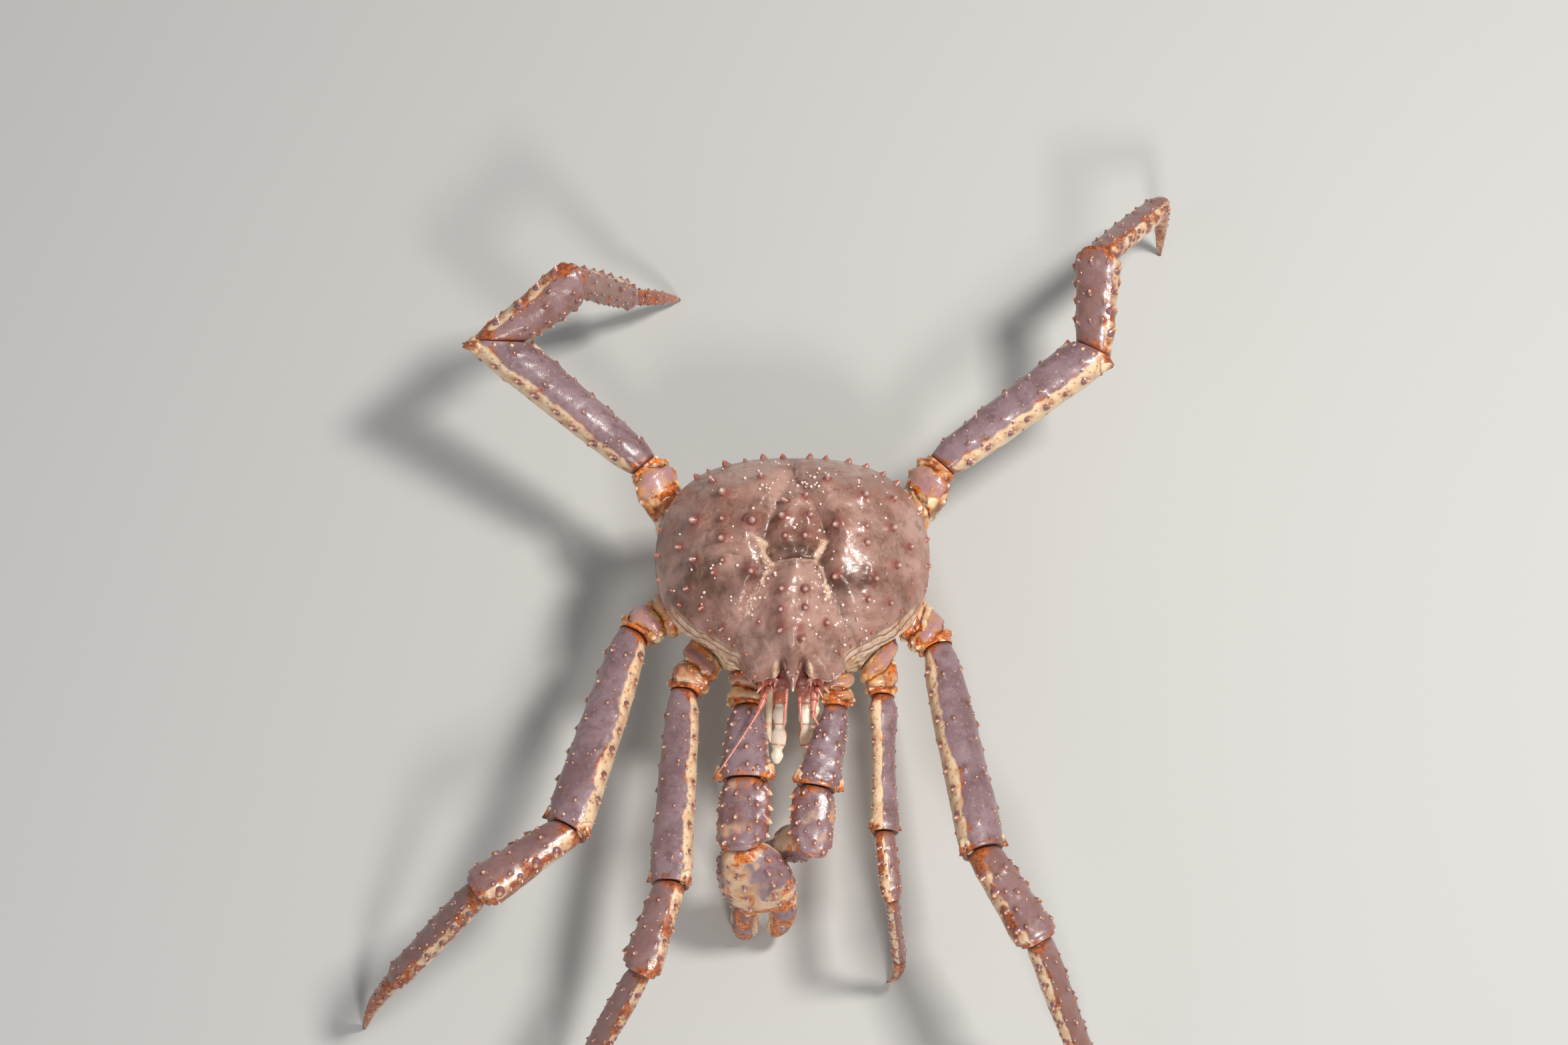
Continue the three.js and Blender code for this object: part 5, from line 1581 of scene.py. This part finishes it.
def make_antennule(word, side):
    """A short feeler of three sections."""
    shape = Shape()
    points, share = rows_tube(ANTENNULE_ROWS, side, 90, 20, joint_swell(ANTENNULE_JOINTS))
    place = share[:, None] * ANTENNULE_LENGTH
    joint = sum(hill(place - spot, half) for spot, half in zip(ANTENNULE_JOINTS, (0.7, 0.6)))
    shape.tube(points, masks(points.shape[:2], joint=joint, cream=0.4 * rise(share, 0.7, 1)[:, None]))
    make_piece(f"{word}_antennule_rod", shape, FEELER_PAINT, f"{word}_antennule")


def make_antenna(word, side):
    """A feeler with spines and scales at its foot and a whip."""
    shape = Shape()
    points, share = rows_tube(ANTENNA_ROWS[word], side, 150, 24, joint_swell(ANTENNA_JOINTS))
    length = np.linalg.norm(np.diff(points.mean(axis=1), axis=0), axis=1).sum()
    place = share[:, None] * length
    joint = sum(hill(place - spot, 0.8) for spot in ANTENNA_JOINTS)
    shape.tube(points, masks(points.shape[:2], joint=joint, core=0.9 * (1 - rise(place, 4, 14))))
    spines, scales = dict(core=SPINE_CORE * 0.6, tip=SPINE_TIP), dict(core=SCALE_CORE, tip=SPINE_TIP * 0.5)
    thorns(shape, ANTENNA_SPINES, side, ANTENNA_SPINE_GIRTH, **spines)
    thorns(shape, ANTENNA_SCALES, side, ANTENNA_SCALE_GIRTH, stretch=1.3, **scales)
    make_piece(f"{word}_antenna_rod", shape, FEELER_PAINT, f"{word}_antenna")


def mouth_swell(place, turns):
    """Ovals between the joints of a mouthpart."""
    waist = sum(hill(place - joint, 2.2) for joint in MOUTH_JOINTS)
    return (1.12 - 0.34 * waist)[:, None] * np.ones(len(turns))


def make_mouthpart(word, side):
    """A jointed plate with a slimmer one beside it."""
    shape = Shape()
    points, share = rows_tube(MOUTH_ROWS, side, 100, MOUTH_SIDES, mouth_swell)
    place = share[:, None] * MOUTH_LENGTH
    joint = sum(hill(place - spot, 0.6) for spot in MOUTH_JOINTS)
    turns = np.linspace(0, 2 * np.pi, MOUTH_SIDES, endpoint=False)
    wander = 0.3 * lumps(points, 5, 31)
    edge = rise(np.abs(np.cos(turns))[None] + wander, 0.7, 0.95)
    stain = 0.7 * edge * (1 - rise(place, 42, 56)) + 0.6 * (1 - rise(place + 6 * wander, 10, 30))
    core = 0.5 * (1 - rise(place, 8, 18))
    shape.tube(points, masks(points.shape[:2], joint=0.8 * joint, stain=stain, core=core))
    points, share = rows_tube(EXOPOD_ROWS, side, 60, 20)
    shape.tube(points, masks(points.shape[:2], cream=1, stain=0.25 * (1 - share[:, None])))
    make_piece(f"{word}_mouthpart_plate", shape, MOUTH_PAINT, f"{word}_mouthpart")


# Underside
TRUNK_TOP = -WALL_DROP - GAP
TRUNK_FOOT = TRUNK_TOP - TRUNK_DEPTH
TRUNK_REAR = 64.5           # behind it the tail flap reaches up to the shell
TRUNK_SIDES = 480
TAIL_RINGS, TAIL_SIDES = 130, 96
TAIL_PLATES = 6
TAIL_ROUNDING = 3.5


def trunk_rings():
    """The trunk's plain rings of points, from the middle of its top down to the middle of its foot."""
    half = np.array(TRUNK_OUTLINE, float)
    outline = np.concatenate([half, half[::-1] * (-1, 1)])
    rim = outline_at(outline, np.linspace(0, 2 * np.pi, TRUNK_SIDES, endpoint=False))
    centre = np.array([0, TRUNK_MIDDLE_Y])
    levels = [(TRUNK_TOP, share) for share in (0.02, 0.5, 0.96)]
    for step in np.linspace(0.02, 0.97, 26):
        bulge = np.sin(np.pi * min(1, step + 0.2))
        levels.append((TRUNK_TOP - TRUNK_DEPTH * step, 1 - 0.06 * (1 - bulge)))
    levels += [(TRUNK_FOOT, share) for share in np.linspace(0.93, 0.02, 70)]
    return np.array([
        np.column_stack([centre + (rim - centre) * share, np.full(TRUNK_SIDES, level)])
        for level, share in levels
    ])


def trunk_grooves(points):
    """Grooves that run in from between the legs, nearly to the middle."""
    groove = np.zeros(points.shape[:2])
    for ax, ay in TRUNK_OUTLINE[:-1]:
        for side in (-1, 1):
            line = [(side * ax, ay), (side * ax * 0.3, ay * 0.5)]
            groove = np.maximum(groove, hill(distance_to_line(points[..., 0], points[..., 1], line), 1.4))
    return groove


def trunk_shape():
    """The body under the shell, with plates between its grooves."""
    shape = Shape()
    points = trunk_rings()
    below = points[..., 2] <= TRUNK_FOOT + 0.1
    groove = trunk_grooves(points)
    points[..., 2] += below * 2.2 * groove
    wrinkle = np.sin(points[..., 2] * 1.1 + 4 * lumps(points, 14, 32)) * ~below
    swell = 0.009 * wrinkle + rough(points, TRUNK_LUMPS)
    points[..., :2] *= (1 + swell - 0.012 * groove * ~below)[..., None]
    # Painted shade in the troughs of the trunk's wrinkles
    crease_shade = 0.5 * rise(-wrinkle, 0.4, 0.95)
    shape.tube(points, masks(points.shape[:2], cream=0.8, stain=0.5 * groove, joint=0.4 * groove, pit=crease_shade))
    return shape


def outline_at(outline, angles):
    """Where rays from the trunk's middle meet its outline."""
    centre = np.array([0, TRUNK_MIDDLE_Y])
    rays = np.stack([np.cos(angles), np.sin(angles)], axis=-1)
    best = np.full(len(angles), np.inf)
    for one, two in zip(outline, np.roll(outline, -1, axis=0)):
        edge, start = two - one, one - centre
        cross = rays[:, 0] * edge[1] - rays[:, 1] * edge[0]
        cross = np.where(cross == 0, np.nan, cross)
        distance = (start[0] * edge[1] - start[1] * edge[0]) / cross
        share = (start[0] * rays[:, 1] - start[1] * rays[:, 0]) / cross
        hit = (share >= -1e-9) & (share <= 1 + 1e-9) & (distance > 0)
        best = np.where(hit & (distance < best), distance, best)
    return centre + rays * best[:, None]


def tail_shape():
    """The skewed tail flap: overlapping plates folded under the trunk."""
    shape = Shape()
    table = np.column_stack([np.linspace(0, 1, len(TAIL_FLAP)), np.array(TAIL_FLAP, float)])
    closing = np.linspace(0.08, 0.98, 26)
    share = np.concatenate([np.zeros(len(closing)), np.linspace(0, 1, TAIL_RINGS), [1, 1]])
    shrink = np.concatenate([closing, np.ones(TAIL_RINGS), [0.6, 0.1]])
    y, half, depth = (along(table, share, column) for column in (1, 2, 3))
    rounded = (1 - np.sqrt(1 - np.minimum(shrink, 1) ** 2)) * (share == 0)
    y = y - TAIL_ROUNDING * (rounded + stripe(share, (0, 0.001), (0, 0.08)))
    turns = np.linspace(0, 2 * np.pi, TAIL_SIDES, endpoint=False)
    across, up = (np.sign(wave) * np.abs(wave) ** 0.8 for wave in (np.cos(turns), np.sin(turns)))
    roof = np.where(y < TRUNK_REAR, TRUNK_FOOT, TRUNK_TOP) - 0.5
    middle, thick = (roof - depth) / 2, (roof + depth) / 2
    plate = np.mod(share * TAIL_PLATES, 1)
    step = (0.9 * plate * (share < 0.999))[:, None] * (up < -0.2)
    x = half[:, None] * shrink[:, None] * across
    z = middle[:, None] + thick[:, None] * shrink[:, None] * up - step
    points = np.stack(np.broadcast_arrays(x, y[:, None], z), axis=-1)
    rear = (share < 0.001)[:, None]
    ridge = np.sin(points[..., 2] * 0.9 + 1.5 * lumps(points, 12, 23))
    points[..., 1] += rear * (0.7 * ridge + 0.4 * lumps(points, 3, 24))
    points[..., 2] += rough(points, TAIL_LUMPS) * (up < 0)
    seam = hill(np.minimum(plate, 1 - plate), 0.05)[:, None] * ~rear
    # Painted shade in the troughs of the ridges on the flap's rear face; the seams are dark joints
    stain, pit = 0.35 + 0.4 * seam, 0.5 * rear * rise(-ridge, 0.4, 0.95)
    shape.tube(points, masks(x.shape, cream=0.7, stain=stain, brown=0.3, joint=0.5 * seam, pit=pit))
    return shape


make_piece("shell_skin", shell_shape(), SHELL_PAINT, "shell")
make_piece("shell_spines", shell_spine_shape(), SHELL_PAINT, "shell")
make_piece("trunk_skin", trunk_shape(), UNDER_PAINT, "trunk")
make_piece("tail_flap_skin", tail_shape(), UNDER_PAINT, "tail_flap")
for word, side in (("right", -1), ("left", 1)):
    make_eye(word, side)
    make_antennule(word, side)
    make_antenna(word, side)
    make_mouthpart(word, side)
for number, (name, limb) in enumerate(LIMBS.items()):
    make_limb(name, limb, number)


# Floor
FLOOR_REACH = 6             # metres
FLOOR_TONE = "bfbebb"
FLOOR_ROUGHNESS = 0.7


def make_floor():
    """A wide, flat floor."""
    mesh = bpy.data.meshes.new("floor")
    corners = [(x * FLOOR_REACH, y * FLOOR_REACH, 0) for x, y in ((-1, -1), (1, -1), (1, 1), (-1, 1))]
    mesh.from_pydata(corners, [], [(0, 1, 2, 3)])
    material = bpy.data.materials.new("pale_floor")
    material.use_nodes = True
    shader = material.node_tree.nodes["Principled BSDF"]
    shader.inputs["Base Color"].default_value = srgb(FLOOR_TONE)
    shader.inputs["Roughness"].default_value = FLOOR_ROUGHNESS
    mesh.materials.append(material)
    floor = bpy.data.objects.new("floor", mesh)
    bpy.context.scene.collection.objects.link(floor)


# Camera at the photo's angle: where the shell's middle lies in the picture, and the scale there
PHOTO_WIDTH, PHOTO_HEIGHT = 2352, 1568
SHELL_PIXEL = (1189, 850)
PIXELS_PER_MM = 2.25
CAMERA_RISE = 70            # degrees above the level of the shell
CAMERA_DISTANCE = 4000
SENSOR_MM = 36


def make_camera():
    """The camera at the photo's angle and scale."""
    tilt = np.radians(CAMERA_RISE)
    right = np.array([1.0, 0, 0])
    up = np.array([0, np.sin(tilt), np.cos(tilt)])
    back = np.array([0, -np.cos(tilt), np.sin(tilt)])
    aside = (PHOTO_WIDTH / 2 - SHELL_PIXEL[0]) / PIXELS_PER_MM
    above = (SHELL_PIXEL[1] - PHOTO_HEIGHT / 2) / PIXELS_PER_MM
    place = right * aside + up * above + back * CAMERA_DISTANCE
    data = bpy.data.cameras.new("camera")
    data.sensor_width = SENSOR_MM
    data.lens = PIXELS_PER_MM * CAMERA_DISTANCE * SENSOR_MM / PHOTO_WIDTH
    data.clip_start, data.clip_end = 0.05, 50
    camera = bpy.data.objects.new("camera", data)
    turn = Matrix([right, up, back]).transposed().to_4x4()
    camera.matrix_world = Matrix.Translation(place * MM + ORIGIN) @ turn
    bpy.context.scene.collection.objects.link(camera)
    bpy.context.scene.camera = camera


# Lights: place and size in metres, power in watts and tone; all look at the floor below the crab
LIGHTS = {
    "key": ((1.1, 0.35, 2), 0.4, 43, (1, 0.97, 0.93)),
    "fill": ((-1.5, -1.4, 1.7), 1.6, 7, (0.94, 0.97, 1)),
    "front": ((0.4, -1.7, 1.9), 0.4, 21, (1, 0.98, 0.95)),
}
WORLD_TONE = (0.92, 0.95, 1, 1)
WORLD_STRENGTH = 0.3


def make_light(name, place, size, power, tone):
    """A square lamp."""
    data = bpy.data.lights.new(name, "AREA")
    data.size, data.energy, data.color = size, power, tone
    light = bpy.data.objects.new(name, data)
    light.location = place
    light.rotation_euler = (-Vector(place)).to_track_quat("-Z", "Y").to_euler()
    bpy.context.scene.collection.objects.link(light)


def make_world():
    """Soft light from all round."""
    world = bpy.data.worlds.new("studio")
    world.use_nodes = True
    background = world.node_tree.nodes["Background"]
    background.inputs["Color"].default_value = WORLD_TONE
    background.inputs["Strength"].default_value = WORLD_STRENGTH
    bpy.context.scene.world = world


make_floor()
make_camera()
for name, light in LIGHTS.items():
    make_light(name, *light)
make_world()
bpy.context.scene.view_settings.view_transform = "Standard"
